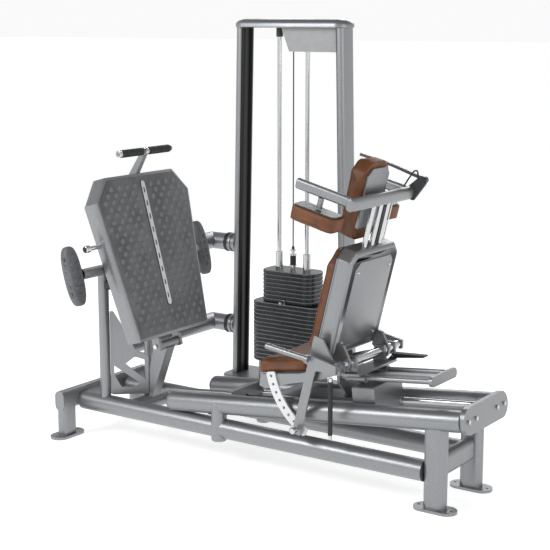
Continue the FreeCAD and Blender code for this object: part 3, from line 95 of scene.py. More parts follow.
def noise(tree, scale, detail, roughness=0.5):
    """Cloudy noise in a piece's own coordinates."""
    where = add_node(tree, "ShaderNodeTexCoord")
    made = add_node(tree, "ShaderNodeTexNoise",
                    {"Scale": scale, "Detail": detail, "Roughness": roughness},
                    {"Vector": where.outputs["Object"]})
    return made.outputs["Fac"]


def blend(tree, source, first, second, low=0, high=1):
    """A colour that turns from the first to the second while its source goes from low to high."""
    made = add_node(tree, "ShaderNodeValToRGB", None, {"Fac": source})
    ends = made.color_ramp.elements
    ends[0].position, ends[1].position = low, high
    ends[0].color, ends[1].color = colour(first), colour(second)
    return made.outputs["Color"]


def finish_mesh(name, shape, material, smooth=True):
    """A new object from a bmesh, with one material or several."""
    mesh = bpy.data.meshes.new(name)
    shape.to_mesh(mesh)
    shape.free()
    made = bpy.data.objects.new(name, mesh)
    bpy.context.scene.collection.objects.link(made)
    for one in material if isinstance(material, (list, tuple)) else [material]:
        mesh.materials.append(one)
    if smooth:
        mesh.shade_smooth()
    return made


FLOOR_HALF, FLOOR_GLOW = 90, 0.62
floor_paint, tree, shader = new_material("matte floor paint")
wire(tree, shader, {
    "Base Color": blend(tree, noise(tree, 1.5, 2), "#F2F2F1", "#F8F8F7"), "Roughness": 0.9,
    "Emission Color": colour("#FFFFFF"), "Emission Strength": FLOOR_GLOW})
shape = bmesh.new()
bmesh.ops.create_grid(shape, x_segments=1, y_segments=1, size=FLOOR_HALF)
finish_mesh("floor", shape, floor_paint, smooth=False)

world = bpy.data.worlds.new("studio")
bpy.context.scene.world = world
world.use_nodes = True
tree = world.node_tree
where = add_node(tree, "ShaderNodeTexCoord")
split = add_node(tree, "ShaderNodeSeparateXYZ", None, {"Vector": where.outputs["Generated"]})
wire(tree, tree.nodes["Background"], {
    "Color": blend(tree, split.outputs["Z"], "#FAFAFA", "#8C8D8F", 0.02, 0.75), "Strength": 1.0})
for name, spot, aim, wide, tall, watts in (
    ("key box", (-2.6, -4.2, 3.6), (0, -0.2, 0.6), 2.0, 2.0, 120),
    ("side box", (4.4, -1.6, 2.6), (0, 0, 0.7), 1.0, 2.4, 30),
    ("back strip", (-1.5, 4.2, 3.2), (0, 0, 0.8), 3.2, 0.8, 50),
):
    lamp = bpy.data.lights.new(name, "AREA")
    lamp.shape = "RECTANGLE"
    lamp.size, lamp.size_y, lamp.energy = wide, tall, watts
    light = bpy.data.objects.new(name, lamp)
    bpy.context.scene.collection.objects.link(light)
    light.location = spot
    light.rotation_euler = (Vector(aim) - Vector(spot)).to_track_quat("-Z", "Y").to_euler()
bpy.context.scene.view_settings.view_transform = "Standard"

# ---------------------------------------------------------------- welded steel frame
# Round and flat oval steel tube, welded, ground and powder coated in metallic silver. The coat
# has a fine orange peel and small bright flakes, so its highlights are soft and a little grainy.
JOINED_WITHIN = 0.00002


def sharp_edges(piece, degrees=35):
    """Splits the shading at a piece's sharp edges."""
    split = piece.modifiers.new("crisp edges", "EDGE_SPLIT")
    split.split_angle = math.radians(degrees)
    return piece


def between(tree, source, low, high):
    """A value that goes from low to high with its source."""
    made = add_node(tree, "ShaderNodeMapRange", {"To Min": low, "To Max": high}, {"Value": source})
    return made.outputs["Result"]


def bumps(tree, source, strength, distance):
    """Small bumps that follow a source."""
    made = add_node(tree, "ShaderNodeBump", {"Strength": strength, "Distance": distance},
                    {"Height": source})
    return made.outputs["Normal"]


def dress(names, material):
    """Gives loaded pieces their finish, joins their triangles and keeps their corners crisp."""
    for name in names:
        piece = nodes[name]
        piece.data.materials.clear()
        piece.data.materials.append(material)
        piece.modifiers.new("joined faces", "WELD").merge_threshold = JOINED_WITHIN
        sharp_edges(piece, 30)
        piece.data.shade_smooth()


silver, tree, shader = new_material("metallic silver powder coat")
flakes, clouds = noise(tree, 700, 2), noise(tree, 7, 4)
wire(tree, shader, {
    "Base Color": blend(tree, flakes, "#7F8184", "#A0A2A4", 0.32, 0.68), "Metallic": 0.8,
    "Roughness": between(tree, clouds, 0.3, 0.44), "Normal": bumps(tree, flakes, 0.15, 0.0004)})
dress(("base_tubes", "front_beam", "legs", "foot_plates", "rails", "rail_end_plate", "rail_posts",
       "rod_front_block", "plate_posts", "plate_gussets", "link_tubes", "tower_base",
       "plate_brackets", "t_handle", "trolley_block", "slide_bars", "seat_carrier",
       "back_frame", "back_shell", "crossbar", "arms", "headrest_plate", "hand_grips"), silver)

# ---------------------------------------------------------------- bright steel
# Guide rods, pins, levers and bolts: ground steel bar with a thin hard chrome plating. It mirrors
# the room, with a faint haze from handling.
chrome, tree, shader = new_material("hard chrome plating")
haze = noise(tree, 40, 3)
wire(tree, shader, {
    "Base Color": blend(tree, haze, "#BFC1C3", "#D2D4D5"), "Metallic": 1.0,
    "Roughness": between(tree, haze, 0.06, 0.18)})
dress(("guide_rods", "frame_bolts", "hinge_pin", "tower_rods", "plate_strip", "tilt_knob",
       "trolley_bearings", "pivot_tube", "struts", "recline_pin", "selector_pin", "stack_stem"),
      chrome)

# ---------------------------------------------------------------- rubber, nylon and rope
# Moulded rubber rings and stops, nylon sheaves and the nylon-coated steel rope: matte black, with
# a fine moulded texture that scatters the light.
rubber, tree, shader = new_material("moulded black rubber")
wire(tree, shader, {
    "Base Color": blend(tree, noise(tree, 12, 3), "#17181A", "#2A2B2D"), "Roughness": 0.55,
    "Normal": bumps(tree, noise(tree, 900, 3), 0.3, 0.0004)})
dress(("rubber_bumpers", "pulley_inner", "pulley_outer", "sled_cable", "top_cable", "seat_lever"),
      rubber)

# ---------------------------------------------------------------- small painted steel parts
# The sector plate is laser-cut sheet in a pale satin enamel, the pulley cover under the tower's cap
# a light grey one; the hand lever, its bracket and the pad plates are dark graphite.
enamel = {}
for name, dark, light in (
    ("pale satin enamel", "#D6D8D9", "#E4E6E6"),
    ("light grey enamel", "#8F9192", "#A2A4A5"),
    ("graphite enamel", "#3A3C3E", "#4A4C4E"),
):
    enamel[name], tree, shader = new_material(name)
    wear = noise(tree, 30, 4)
    wire(tree, shader, {
        "Base Color": blend(tree, wear, dark, light), "Metallic": 0.2,
        "Roughness": between(tree, wear, 0.3, 0.45)})
dress(("sector_plate",), enamel["pale satin enamel"])
dress(("pulley_cover",), enamel["light grey enamel"])
dress(("lever_bracket", "release_lever", "pad_plate_near", "pad_plate_far"),
      enamel["graphite enamel"])

# ---------------------------------------------------------------- foot plate
# A folded steel box whose two long sides roll over to the back, with a thick rubber tread let
# into its face. The tread has staggered round studs, and a slotted steel strip splits it.
SLED_Y = -0.247


def leaning(x, z, degrees):
    """Where a leaning part of the sled stands: its x runs forward along the lean, its z up it."""
    return Matrix.Translation((x, SLED_Y, z)) @ Matrix.Rotation(math.radians(degrees), 4, "Y")


def slab(shape, across, corners, low, high, place):
    """Adds a prism: its corners lie in the plane across one axis, and it runs low to high."""
    def spot(a, b, t):
        return {"x": (t, a, b), "y": (a, t, b), "z": (a, b, t)}[across]
    base = shape.faces.new([shape.verts.new(spot(a, b, low)) for a, b in corners])
    grown = bmesh.ops.extrude_face_region(shape, geom=[base])["geom"]
    top = [v for v in grown if isinstance(v, bmesh.types.BMVert)]
    bmesh.ops.translate(shape, verts=top, vec=spot(0, 0, high - low))
    verts = list(base.verts) + top
    bmesh.ops.transform(shape, matrix=place, verts=verts)
    bmesh.ops.recalc_face_normals(shape, faces=list({f for v in verts for f in v.link_faces}))
    return verts


def soften(shape, edges, width, segments):
    """Rounds some edges of a shape."""
    bmesh.ops.bevel(shape, geom=edges, offset=width, segments=segments, profile=0.5,
                    affect="EDGES", material=-1, clamp_overlap=True)


def edges_along(shape, verts, place, axis, low, high):
    """The edges of some vertices whose both ends lie between two heights along an axis."""
    back = place.inverted()
    index = "xyz".index(axis)
    picked = {v for v in verts
              if v.is_valid and low - 1e-5 <= (back @ v.co)[index] <= high + 1e-5}
    return [e for e in shape.edges if e.verts[0] in picked and e.verts[1] in picked]


PLATE = leaning(-0.569, 0.644, -15.52)
TREAD_THICK, PLATE_THICK = 0.006, 0.084
PLATE_LOW, PLATE_WIDE_AT, PLATE_HIGH = -0.134, 0.520, 0.627
HALF_LOW, HALF_WIDE, HALF_HIGH, TOP_SLANT = 0.250, 0.330, 0.240, 0.7
PLATE_BACK = -TREAD_THICK - PLATE_THICK
ROLL_STEPS, ROLL_SUNK, ROLL_PROUD, ROLL_SHORT = 16, 0.003, 0.013, 0.002


def plate_outline(inset):
    """Half widths and heights of the plate's outline, drawn in by an inset."""
    low, wide, high = HALF_LOW - inset, HALF_WIDE - inset, HALF_HIGH - inset * TOP_SLANT
    return [(-low, PLATE_LOW + inset), (low, PLATE_LOW + inset), (wide, PLATE_WIDE_AT),
            (high, PLATE_HIGH - inset), (-high, PLATE_HIGH - inset), (-wide, PLATE_WIDE_AT)]


shape = bmesh.new()
verts = slab(shape, "x", plate_outline(0), PLATE_BACK, -TREAD_THICK, PLATE)
soften(shape, edges_along(shape, verts, PLATE, "x", -0.2, PLATE_BACK), 0.018, 4)
soften(shape, edges_along(shape, shape.verts, PLATE, "x", -TREAD_THICK, 0), 0.003, 2)
for side in (-1, 1):
    rings = []
    for half, height in ((HALF_LOW, PLATE_LOW + ROLL_SHORT),
                         (HALF_WIDE, PLATE_WIDE_AT - ROLL_SHORT)):
        ring = []
        for i in range(ROLL_STEPS + 1):
            angle = math.radians(-90 + i * 180 / ROLL_STEPS)
            middle = -TREAD_THICK - PLATE_THICK / 2
            back = middle + (PLATE_THICK / 2 - ROLL_SUNK) * math.sin(angle)
            across = side * (half - ROLL_SUNK + ROLL_PROUD * math.cos(angle))
            ring.append(shape.verts.new(PLATE @ Vector((back, across, height))))
        rings.append(ring)
    made = [shape.faces.new((rings[0][i], rings[0][i + 1], rings[1][i + 1], rings[1][i]))
            for i in range(ROLL_STEPS)]
    made += [shape.faces.new(ring) for ring in rings]
    made.append(shape.faces.new((rings[0][0], rings[1][0], rings[1][-1], rings[0][-1])))
    bmesh.ops.recalc_face_normals(shape, faces=made)
plate_box = sharp_edges(finish_mesh("foot_plate_box", shape, silver), 30)
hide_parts("plate_shell")
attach(plate_box, "foot_plate")

tread_rubber, tree, shader = new_material("studded grey tread rubber")
wire(tree, shader, {
    "Base Color": blend(tree, noise(tree, 9, 5), "#55575A", "#6E7073", 0.35, 0.7),
    "Roughness": 0.48, "Normal": bumps(tree, noise(tree, 500, 3), 0.35, 0.0005)})
# The studs are a paler grey rubber than the tread around them.
pale_stud_rubber, tree, shader = new_material("paler rubber of the studs")
wire(tree, shader, {
    "Base Color": blend(tree, noise(tree, 45, 4), "#5C5E60", "#808285"), "Roughness": 0.42})

STUD_RADIUS, STUD_TALL, STUD_TAPER, STUD_ROW, STUD_STEP = 0.0135, 0.0035, 0.72, 0.030, 0.056
STRIP_HALF, STRIP_LOW, STRIP_TOP, STRIP_CLEAR = 0.016, -0.001, 0.592, 0.02
TREAD_INSET, FIRST_ROW, ROWS_SHORT, EDGE_CLEAR = 0.014, 0.045, 0.06, 0.034


def stud(shape, place, radius, tall, sides=12):
    """Adds one low round stud that stands on the plane x = 0 of its place."""
    turn = place @ Matrix.Translation((tall / 2, 0, 0)) @ Matrix.Rotation(math.radians(90), 4, "Y")
    bmesh.ops.create_cone(shape, cap_ends=True, segments=sides, radius1=radius,
                          radius2=radius * STUD_TAPER, depth=tall, matrix=turn)


shape = bmesh.new()
rim = plate_outline(TREAD_INSET)
for sign in (-1, 1):
    half = [(sign * STRIP_HALF, rim[0][1]), (sign * rim[1][0], rim[1][1]),
            (sign * rim[2][0], rim[2][1]), (sign * rim[3][0], rim[3][1]),
            (sign * STRIP_HALF, rim[3][1])]
    verts = slab(shape, "x", half, -TREAD_THICK, 0, PLATE)
    soften(shape, edges_along(shape, verts, PLATE, "x", 0, 0.01), 0.0015, 2)
for low, high in ((rim[0][1], STRIP_LOW), (STRIP_TOP, rim[3][1])):
    slab(shape, "x", [(-STRIP_HALF, low), (STRIP_HALF, low), (STRIP_HALF, high),
                      (-STRIP_HALF, high)], -TREAD_THICK, 0, PLATE)
plain = len(shape.faces)
for row in range(int((PLATE_HIGH - PLATE_LOW - ROWS_SHORT) / STUD_ROW)):
    height = PLATE_LOW + FIRST_ROW + row * STUD_ROW
    if height < PLATE_WIDE_AT:
        share = (height - PLATE_LOW) / (PLATE_WIDE_AT - PLATE_LOW)
        reach = HALF_LOW + (HALF_WIDE - HALF_LOW) * share
    else:
        share = (height - PLATE_WIDE_AT) / (PLATE_HIGH - PLATE_WIDE_AT)
        reach = HALF_WIDE - (HALF_WIDE - HALF_HIGH) * share
    for column in range(-7, 8):
        across = (column + (0.5 if row % 2 else 0)) * STUD_STEP
        clear_of_strip = (abs(across) > STRIP_HALF + STUD_RADIUS
                          or not -STRIP_CLEAR < height < STRIP_TOP + STRIP_CLEAR)
        if abs(across) < reach - EDGE_CLEAR and clear_of_strip:
            stud(shape, PLATE @ Matrix.Translation((0, across, height)), STUD_RADIUS, STUD_TALL)
shape.faces.ensure_lookup_table()
for face in shape.faces[plain:]:
    face.material_index = 1
tread = sharp_edges(finish_mesh("foot_plate_tread", shape, [tread_rubber, pale_stud_rubber]), 40)
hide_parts("plate_tread")
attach(tread, "foot_plate")

# ---------------------------------------------------------------- handle sleeves and side pads
# Two rubber sleeves with ribs are pushed on the steel cross bar, a bright collar between them.
# The side pads are moulded rubber boats with round studs on the face that the sole rests on.
HANDLE = PLATE @ Matrix.Translation((0.058, 0, 0.717))
SLEEVE_IN, SLEEVE_OUT, SLEEVE_RADIUS = 0.022, 0.172, 0.0168
RIBS, RIB_FIRST, RIB_STEP, RIB_HALF, RIB_RADIUS = 9, 0.032, 0.0162, 0.004, 0.0180


def rod(shape, place, axis, start, end, radius, end_radius=None, sides=32):
    """Adds a round bar along an axis of its place."""
    turn = {"x": Matrix.Rotation(math.radians(90), 4, "Y"),
            "y": Matrix.Rotation(math.radians(-90), 4, "X"), "z": Matrix.Identity(4)}[axis]
    middle = Vector([(start + end) / 2 if a == axis else 0 for a in "xyz"])
    made = bmesh.ops.create_cone(shape, cap_ends=True, segments=sides, radius1=radius,
                                 radius2=radius if end_radius is None else end_radius,
                                 depth=end - start,
                                 matrix=place @ Matrix.Translation(middle) @ turn)
    return made["verts"]


def end_edges(verts, longest):
    """The short edges of a bar, which are those of its two end circles."""
    return list({e for v in verts for e in v.link_edges if e.calc_length() < longest})


def squared(value, power):
    """Draws a sine or a cosine out towards a rounded square."""
    return math.copysign(abs(value) ** power, value)


shape = bmesh.new()
for sign in (-1, 1):
    low, high = sorted((sign * SLEEVE_IN, sign * SLEEVE_OUT))
    rod(shape, HANDLE, "y", low, high, SLEEVE_RADIUS)
    for i in range(RIBS):
        middle = sign * (RIB_FIRST + i * RIB_STEP)
        rod(shape, HANDLE, "y", middle - RIB_HALF, middle + RIB_HALF, RIB_RADIUS, sides=24)
sleeves = sharp_edges(finish_mesh("handle_sleeves", shape, rubber))
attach(sleeves, "foot_plate")
shape = bmesh.new()
for low, high, radius in ((-0.010, 0.010, 0.0185), (-0.187, -0.173, 0.0175)):
    made = rod(shape, HANDLE, "y", low, high, radius)
    soften(shape, end_edges(made, 0.01), 0.002, 2)
collars = sharp_edges(finish_mesh("handle_collars", shape, chrome))
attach(collars, "foot_plate")

PAD_BEHIND, PAD_ASIDE, PAD_UP = -0.114, 0.461, 0.226
PAD_HALF_WIDE, PAD_HALF_TALL, PAD_BACK, PAD_FACE = 0.046, 0.135, -0.026, 0.020
PAD_POINTS, PAIR_BELOW, PAIR_HALF = 40, 0.06, 0.017
shape = bmesh.new()
for sign in (-1, 1):
    place = PLATE @ Matrix.Translation((PAD_BEHIND, sign * PAD_ASIDE, PAD_UP))
    outline = []
    for i in range(PAD_POINTS):
        angle = math.radians(i * 360 / PAD_POINTS)
        outline.append((PAD_HALF_WIDE * squared(math.sin(angle), 0.8),
                        PAD_HALF_TALL * squared(math.cos(angle), 0.85)))
    verts = slab(shape, "x", outline, PAD_BACK, PAD_FACE, place)
    soften(shape, edges_along(shape, verts, place, "x", PAD_FACE, 0.03), 0.016, 5)
    soften(shape, edges_along(shape, verts, place, "x", -0.03, PAD_BACK), 0.012, 4)
    for height in (-0.088, -0.053, -0.018, 0.018, 0.053, 0.088):
        for across in ((0,) if abs(height) > PAIR_BELOW else (-PAIR_HALF, PAIR_HALF)):
            stud(shape, place @ Matrix.Translation((0.0195, across, height)), 0.011, 0.005)
        outward = Matrix.Rotation(math.radians(90 * sign), 4, "Z")
        spot = Matrix.Translation((-0.003, sign * 0.045, height * 0.9))
        stud(shape, place @ spot @ outward, 0.011, 0.004)
pads = sharp_edges(finish_mesh("side_pad_rubber", shape, tread_rubber), 40)
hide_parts("side_pads")
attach(pads, "foot_plate")

# ---------------------------------------------------------------- tower uprights
# Two flat oval extrusions that lean in towards the top. Outside they carry the frame's silver coat;
# the side that faces the stack is a shallow channel, coloured near black as painted shade.
# Painted shade: the channel on the stack side is coloured near black where it lies in shade.
stack_side_shade, tree, shader = new_material("near-black painted shade in the channel")
where = add_node(tree, "ShaderNodeTexCoord")
stretch = add_node(tree, "ShaderNodeMapping", {"Scale": (60, 60, 1.2)},
                   {"Vector": where.outputs["Object"]})
streak = add_node(tree, "ShaderNodeTexNoise", {"Scale": 6, "Detail": 2},
                  {"Vector": stretch.outputs["Vector"]})
wire(tree, shader, {
    "Base Color": colour("#1B1C1D"), "Metallic": 0.35,
    "Roughness": between(tree, streak.outputs["Fac"], 0.3, 0.42)})

TOWER = Matrix.Translation((-0.467, 0.633, 0))
UPRIGHT_LOW, UPRIGHT_HIGH, UPRIGHT_FOOT, UPRIGHT_TOP = 0.100, 1.908, 0.336, 0.295
DEEP, THIN, LIP, SUNK = 0.056, 0.026, 0.040, 0.012
MOUTH, BED = LIP - 0.012, LIP - 0.016
shape = bmesh.new()
for side in (-1, 1):
    outline = []
    for degrees in range(90, -91, -15):
        angle = math.radians(degrees)
        outline.append((-THIN * math.sin(angle), -(DEEP - THIN) - THIN * math.cos(angle)))
    outline += [(-x, -y) for x, y in outline]
    ring = outline + [(-THIN, MOUTH), (-THIN + SUNK, BED), (-THIN + SUNK, -BED), (-THIN, -MOUTH)]
    rings = []
    for height, reach in ((UPRIGHT_LOW, UPRIGHT_FOOT), (UPRIGHT_HIGH, UPRIGHT_TOP)):
        rings.append([shape.verts.new(TOWER @ Vector((side * (reach + x), y, height)))
                      for x, y in ring])
    count = len(ring)
    for i in range(count):
        j = (i + 1) % count
        face = shape.faces.new((rings[0][i], rings[0][j], rings[1][j], rings[1][i]))
        inner, outer = sorted((ring[i][0], ring[j][0]))
        # The channel's faces on the stack side take the near-black painted shade.
        face.material_index = 1 if inner < -THIN * 0.45 and outer < -THIN * 0.3 else 0
    shape.faces.new(rings[0])
    shape.faces.new(rings[1])
bmesh.ops.recalc_face_normals(shape, faces=shape.faces)
uprights = sharp_edges(finish_mesh("tower_upright_skins", shape, [silver, stack_side_shade]))
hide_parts("tower_uprights")
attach(uprights, "frame")

# ---------------------------------------------------------------- tower cap
# One pressed steel lid in the frame's coat, nearly flat on top, with a rolled rim that hides the
# top ends of both uprights.
CAP_LONG, CAP_WIDE, CAP_BOW, CAP_POINTS = 0.340, 0.070, 0.026, 64
RIM_RISE, CROWN_RISE, CAP_OVERLAP = 0.018, 0.016, 0.002
shape = bmesh.new()
rings = []
for inset, rise in ((0.004, 0), (0, 0.003), (0, RIM_RISE), (0.004, 0.024), (0.014, 0.030),
                    (0.030, 0.033), (0.050, 0.034)):
    ring = []
    for i in range(CAP_POINTS):
        angle = math.radians(i * 360 / CAP_POINTS)
        straight = CAP_LONG - CAP_WIDE
        x = math.copysign(straight, math.cos(angle)) + (CAP_WIDE - inset) * math.cos(angle)
        y = (CAP_WIDE - inset) * math.sin(angle)
        bow = CAP_BOW * (1 - (x / CAP_LONG) ** 2) * max(0, rise - RIM_RISE) / CROWN_RISE
        height = UPRIGHT_HIGH - CAP_OVERLAP + rise + bow
        ring.append(shape.verts.new(TOWER @ Vector((x, y, height))))
    rings.append(ring)
for low, high in zip(rings, rings[1:]):
    for i in range(CAP_POINTS):
        j = (i + 1) % CAP_POINTS
        shape.faces.new((low[i], low[j], high[j], high[i]))
shape.faces.new(rings[0])
shape.faces.new(rings[-1])
bmesh.ops.recalc_face_normals(shape, faces=shape.faces)
cap = sharp_edges(finish_mesh("tower_cap_lid", shape, silver), 40)
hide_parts("tower_cap")
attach(cap, "frame")

# ---------------------------------------------------------------- weight plates
# Cast iron plates, ground flat and dipped in black enamel, with rounded corners and a small chamfer
# all round that catches the light. The chamfers that face upward are coloured pale grey as a
# painted highlight. The upper ones are smaller than the lower ones.
enamelled_iron, tree, shader = new_material("black enamelled cast iron")
casting = noise(tree, 160, 4)
wire(tree, shader, {
    "Base Color": blend(tree, casting, "#2A2B2D", "#3E4042"), "Metallic": 0.5,
    "Roughness": between(tree, casting, 0.22, 0.4), "Normal": bumps(tree, casting, 0.25, 0.0006)})
# Painted highlight: a pale grey for the upward-facing chamfers, standing in for the light they
# catch.
upper_chamfer_highlight, tree, shader = new_material("black cast iron with painted highlight on upper chamfers")
wire(tree, shader, {
    "Base Color": blend(tree, noise(tree, 70, 3), "#85878A", "#C2C4C6"), "Metallic": 0.6,
    "Roughness": 0.35})
STACK_LOW, PLATE_PITCH, PLATE_TALL, PLATE_CHAMFER = 0.200, 0.021, 0.020, 0.0042
for name, node, body, first, count, half_wide, half_deep, corner in (
    ("weight_plates_low", "resting_plates", "frame", 0, 15, 0.210, 0.095, 0.060),
    ("weight_plates_high", "lifted_plates", "stack", 15, 8, 0.156, 0.080, 0.052),
):
    shape = bmesh.new()
    for i in range(first, first + count):
        low = STACK_LOW + i * PLATE_PITCH
        corners = [(-half_wide, -half_deep), (half_wide, -half_deep), (half_wide, half_deep),
                   (-half_wide, half_deep)]
        own = set(slab(shape, "z", corners, low, low + PLATE_TALL, TOWER))
        upright = [e for e in shape.edges if e.verts[0] in own
                   and abs(e.verts[0].co.z - e.verts[1].co.z) > 0.01]
        soften(shape, upright, corner, 8)
    rims = [e for e in shape.edges if abs(e.verts[0].co.z - e.verts[1].co.z) < 1e-6]
    soften(shape, rims, PLATE_CHAMFER, 1)
    shape.normal_update()
    # Faces that slope upward, the top chamfers, take the painted-highlight material.
    for face in shape.faces:
        face.material_index = 1 if 0.2 < face.normal.z < 0.95 else 0
    plates = sharp_edges(finish_mesh(name, shape, [enamelled_iron, upper_chamfer_highlight]), 30)
    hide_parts(node)
    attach(plates, body)

# ---------------------------------------------------------------- collars on the link tubes
# Turned steel collars that back up the black rubber rings where the link tubes meet the tower.
COLLAR_START, COLLAR_END, COLLAR_RADIUS = -0.3915, -0.372, 0.0495
shape = bmesh.new()
for height in (0.350, 0.790):
    made = rod(shape, TOWER @ Matrix.Translation((0, 0, height)), "x", COLLAR_START, COLLAR_END,
               COLLAR_RADIUS, sides=48)
    soften(shape, end_edges(made, 0.012), 0.002, 2)
link_collars = sharp_edges(finish_mesh("link_collars", shape, silver))
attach(link_collars, "frame")

# ---------------------------------------------------------------- stack cable and its clevis
# Seven-by-nineteen steel rope in black nylon. Its end is swaged in a threaded stud, held in the
# stack's drawbar by a nut and a black rubber stop.
ROPE_LOW, ROPE_HIGH, ROPE_RADIUS, STACK_TRAVEL = 0.779, 1.820, 0.0032, 0.38
shape = bmesh.new()
rod(shape, TOWER, "z", ROPE_LOW, ROPE_HIGH, ROPE_RADIUS, sides=16)
rope = finish_mesh("stack_rope", shape, rubber)
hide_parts("stack_cable")
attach(rope, "stack")
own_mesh(rope)
shape = bmesh.new()
for low, high, radius in ((0.708, 0.758, 0.0155), (0.790, 0.803, 0.0075)):
    rod(shape, TOWER, "z", low, high, radius)
stop = sharp_edges(finish_mesh("cable_stop", shape, rubber))
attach(stop, "stack")
shape = bmesh.new()
for low, high, radius in ((0.701, 0.708, 0.019), (0.758, 0.764, 0.020), (0.780, 0.788, 0.016)):
    rod(shape, TOWER, "z", low, high, radius)
washers = sharp_edges(finish_mesh("cable_washers", shape, chrome))
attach(washers, "stack")

# ---------------------------------------------------------------- backrest panel and trim
# A flat steel panel is screwed on the back of the shell. In front, a thin black slab stands in the
# gap as painted shade, with a bright trim strip between it and the shell.
BACK = leaning(0.490, 0.546, 14)
PANEL_BACK, PANEL_FACE = -0.0635, -0.0600
shape = bmesh.new()
panel = [(-0.150, 0.045), (0.150, 0.045), (0.150, 0.395), (0.122, 0.424), (-0.122, 0.424),
         (-0.150, 0.395)]
verts = slab(shape, "x", panel, PANEL_BACK, PANEL_FACE, BACK)
soften(shape, edges_along(shape, verts, BACK, "x", -0.061, -0.05), 0.0015, 2)
back_panel = sharp_edges(finish_mesh("back_panel", shape, silver))
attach(back_panel, "backrest")
shape = bmesh.new()
for across, height in ((-0.132, 0.066), (0.132, 0.066), (-0.128, 0.380), (0.128, 0.380)):
    place = BACK @ Matrix.Translation((0, across, height))
    rod(shape, place, "x", -0.0605, -0.0560, 0.0070, 0.0050, sides=24)
screws = sharp_edges(finish_mesh("back_panel_screws", shape, chrome))
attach(screws, "backrest")


BOARD_HALF, BOARD_LOW, BOARD_HIGH, BOARD_CORNER = 0.195, -0.006, 0.468, 0.044


def back_outline(half, low, high, corner):
    """The back cushion's outline: a rectangle with its two upper corners cut."""
    return [(-half, low), (half, low), (half, high - corner), (half - corner, high),
            (corner - half, high), (-half, high - corner)]


# The first row is a thin black slab of painted shade in the gap between cushion and shell; the
# second is the trim strip.
for name, grow, low, high, material, slot in (
    ("gap_shade_slab", 0.002, -0.1400, -0.1335, rubber, "black_rubber"),
    ("cushion_trim", 0.004, -0.1335, -0.1285, silver, "polished_steel"),
):
    shape = bmesh.new()
    outline = back_outline(BOARD_HALF + grow, BOARD_LOW, BOARD_HIGH + grow, BOARD_CORNER)
    slab(shape, "x", outline, low, high, BACK)
    board = sharp_edges(finish_mesh(name, shape, material))
    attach(board, "backrest")

# ---------------------------------------------------------------- gas spring and release rods
# A black gas spring hangs beside the seat's pivot. Between the back's sliding bars run a flat
# black rack and a thin rod; a looped sheathed cable leaves the hand lever's hub.
SPRING = Matrix.Translation((0.475, SLED_Y - 0.258, 0))
shape = bmesh.new()
rod(shape, SPRING, "z", 0.262, 0.490, 0.0098)
dark_rods = sharp_edges(finish_mesh("gas_spring_body", shape, rubber))
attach(dark_rods, "seat")
shape = bmesh.new()
for low, high, radius in ((0.244, 0.262, 0.0075), (0.490, 0.506, 0.0085)):
    rod(shape, SPRING, "z", low, high, radius)
spring_ends = sharp_edges(finish_mesh("gas_spring_ends", shape, chrome))
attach(spring_ends, "seat")

BETWEEN_LOW, BETWEEN_HIGH = 0.480, 0.642
shape = bmesh.new()
slab(shape, "z", [(-0.104, 0.022), (-0.092, 0.022), (-0.092, 0.040), (-0.104, 0.040)],
     BETWEEN_LOW, BETWEEN_HIGH, BACK)
rack = sharp_edges(finish_mesh("adjusting_rack", shape, rubber))
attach(rack, "shoulder_unit")
shape = bmesh.new()
rod(shape, BACK @ Matrix.Translation((-0.096, 0.092, 0)), "z", BETWEEN_LOW, BETWEEN_HIGH, 0.0035,
    sides=16)
release_rod = sharp_edges(finish_mesh("thin_release_rod", shape, chrome))
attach(release_rod, "shoulder_unit")
loop = bpy.data.curves.new("lever cable sheath", "CURVE")
loop.dimensions, loop.bevel_depth, loop.bevel_resolution = "3D", 0.0035, 3
line = loop.splines.new("BEZIER")
turns = ((-0.074, 0.232, 0.752), (-0.080, 0.205, 0.782), (-0.088, 0.178, 0.752),
         (-0.100, 0.168, 0.708))
line.bezier_points.add(len(turns) - 1)
for point, spot in zip(line.bezier_points, turns):
    point.co = BACK @ Vector(spot)
    point.handle_left_type = point.handle_right_type = "AUTO"
loop.materials.append(rubber)
sheath = bpy.data.objects.new("lever_cable_sheath", loop)
bpy.context.scene.collection.objects.link(sheath)
view = bpy.context.evaluated_depsgraph_get()
mesh = bpy.data.meshes.new_from_object(sheath.evaluated_get(view))
bpy.data.objects.remove(sheath)
sheath = bpy.data.objects.new("lever_cable_sheath", mesh)
bpy.context.scene.collection.objects.link(sheath)
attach(sheath, "shoulder_unit")

# ---------------------------------------------------------------- cushions
# Moulded foam on a board, covered in tan leather that is pulled tight and stapled under. The
# foam swells between its edges; a welted seam runs round where the top panel meets the boxing.
leather, tree, shader = new_material("tan upholstery leather")
where = add_node(tree, "ShaderNodeTexCoord")
pebbles = add_node(tree, "ShaderNodeTexVoronoi", {"feature": "F1", "Scale": 420},
                   {"Vector": where.outputs["Object"]})
hide = noise(tree, 14, 6, 0.6)
wire(tree, shader, {
    "Base Color": blend(tree, hide, "#4E280B", "#7A4313", 0.3, 0.72),
    "Roughness": between(tree, hide, 0.42, 0.58),
    "Normal": bumps(tree, pebbles.outputs["Distance"], 0.35, 0.0006)})
SEAT = leaning(0.060, 0.455, -9)
HELD_WITHIN, SWELL_PRESSURE, SWELL_FRAMES = 0.006, 4, 20


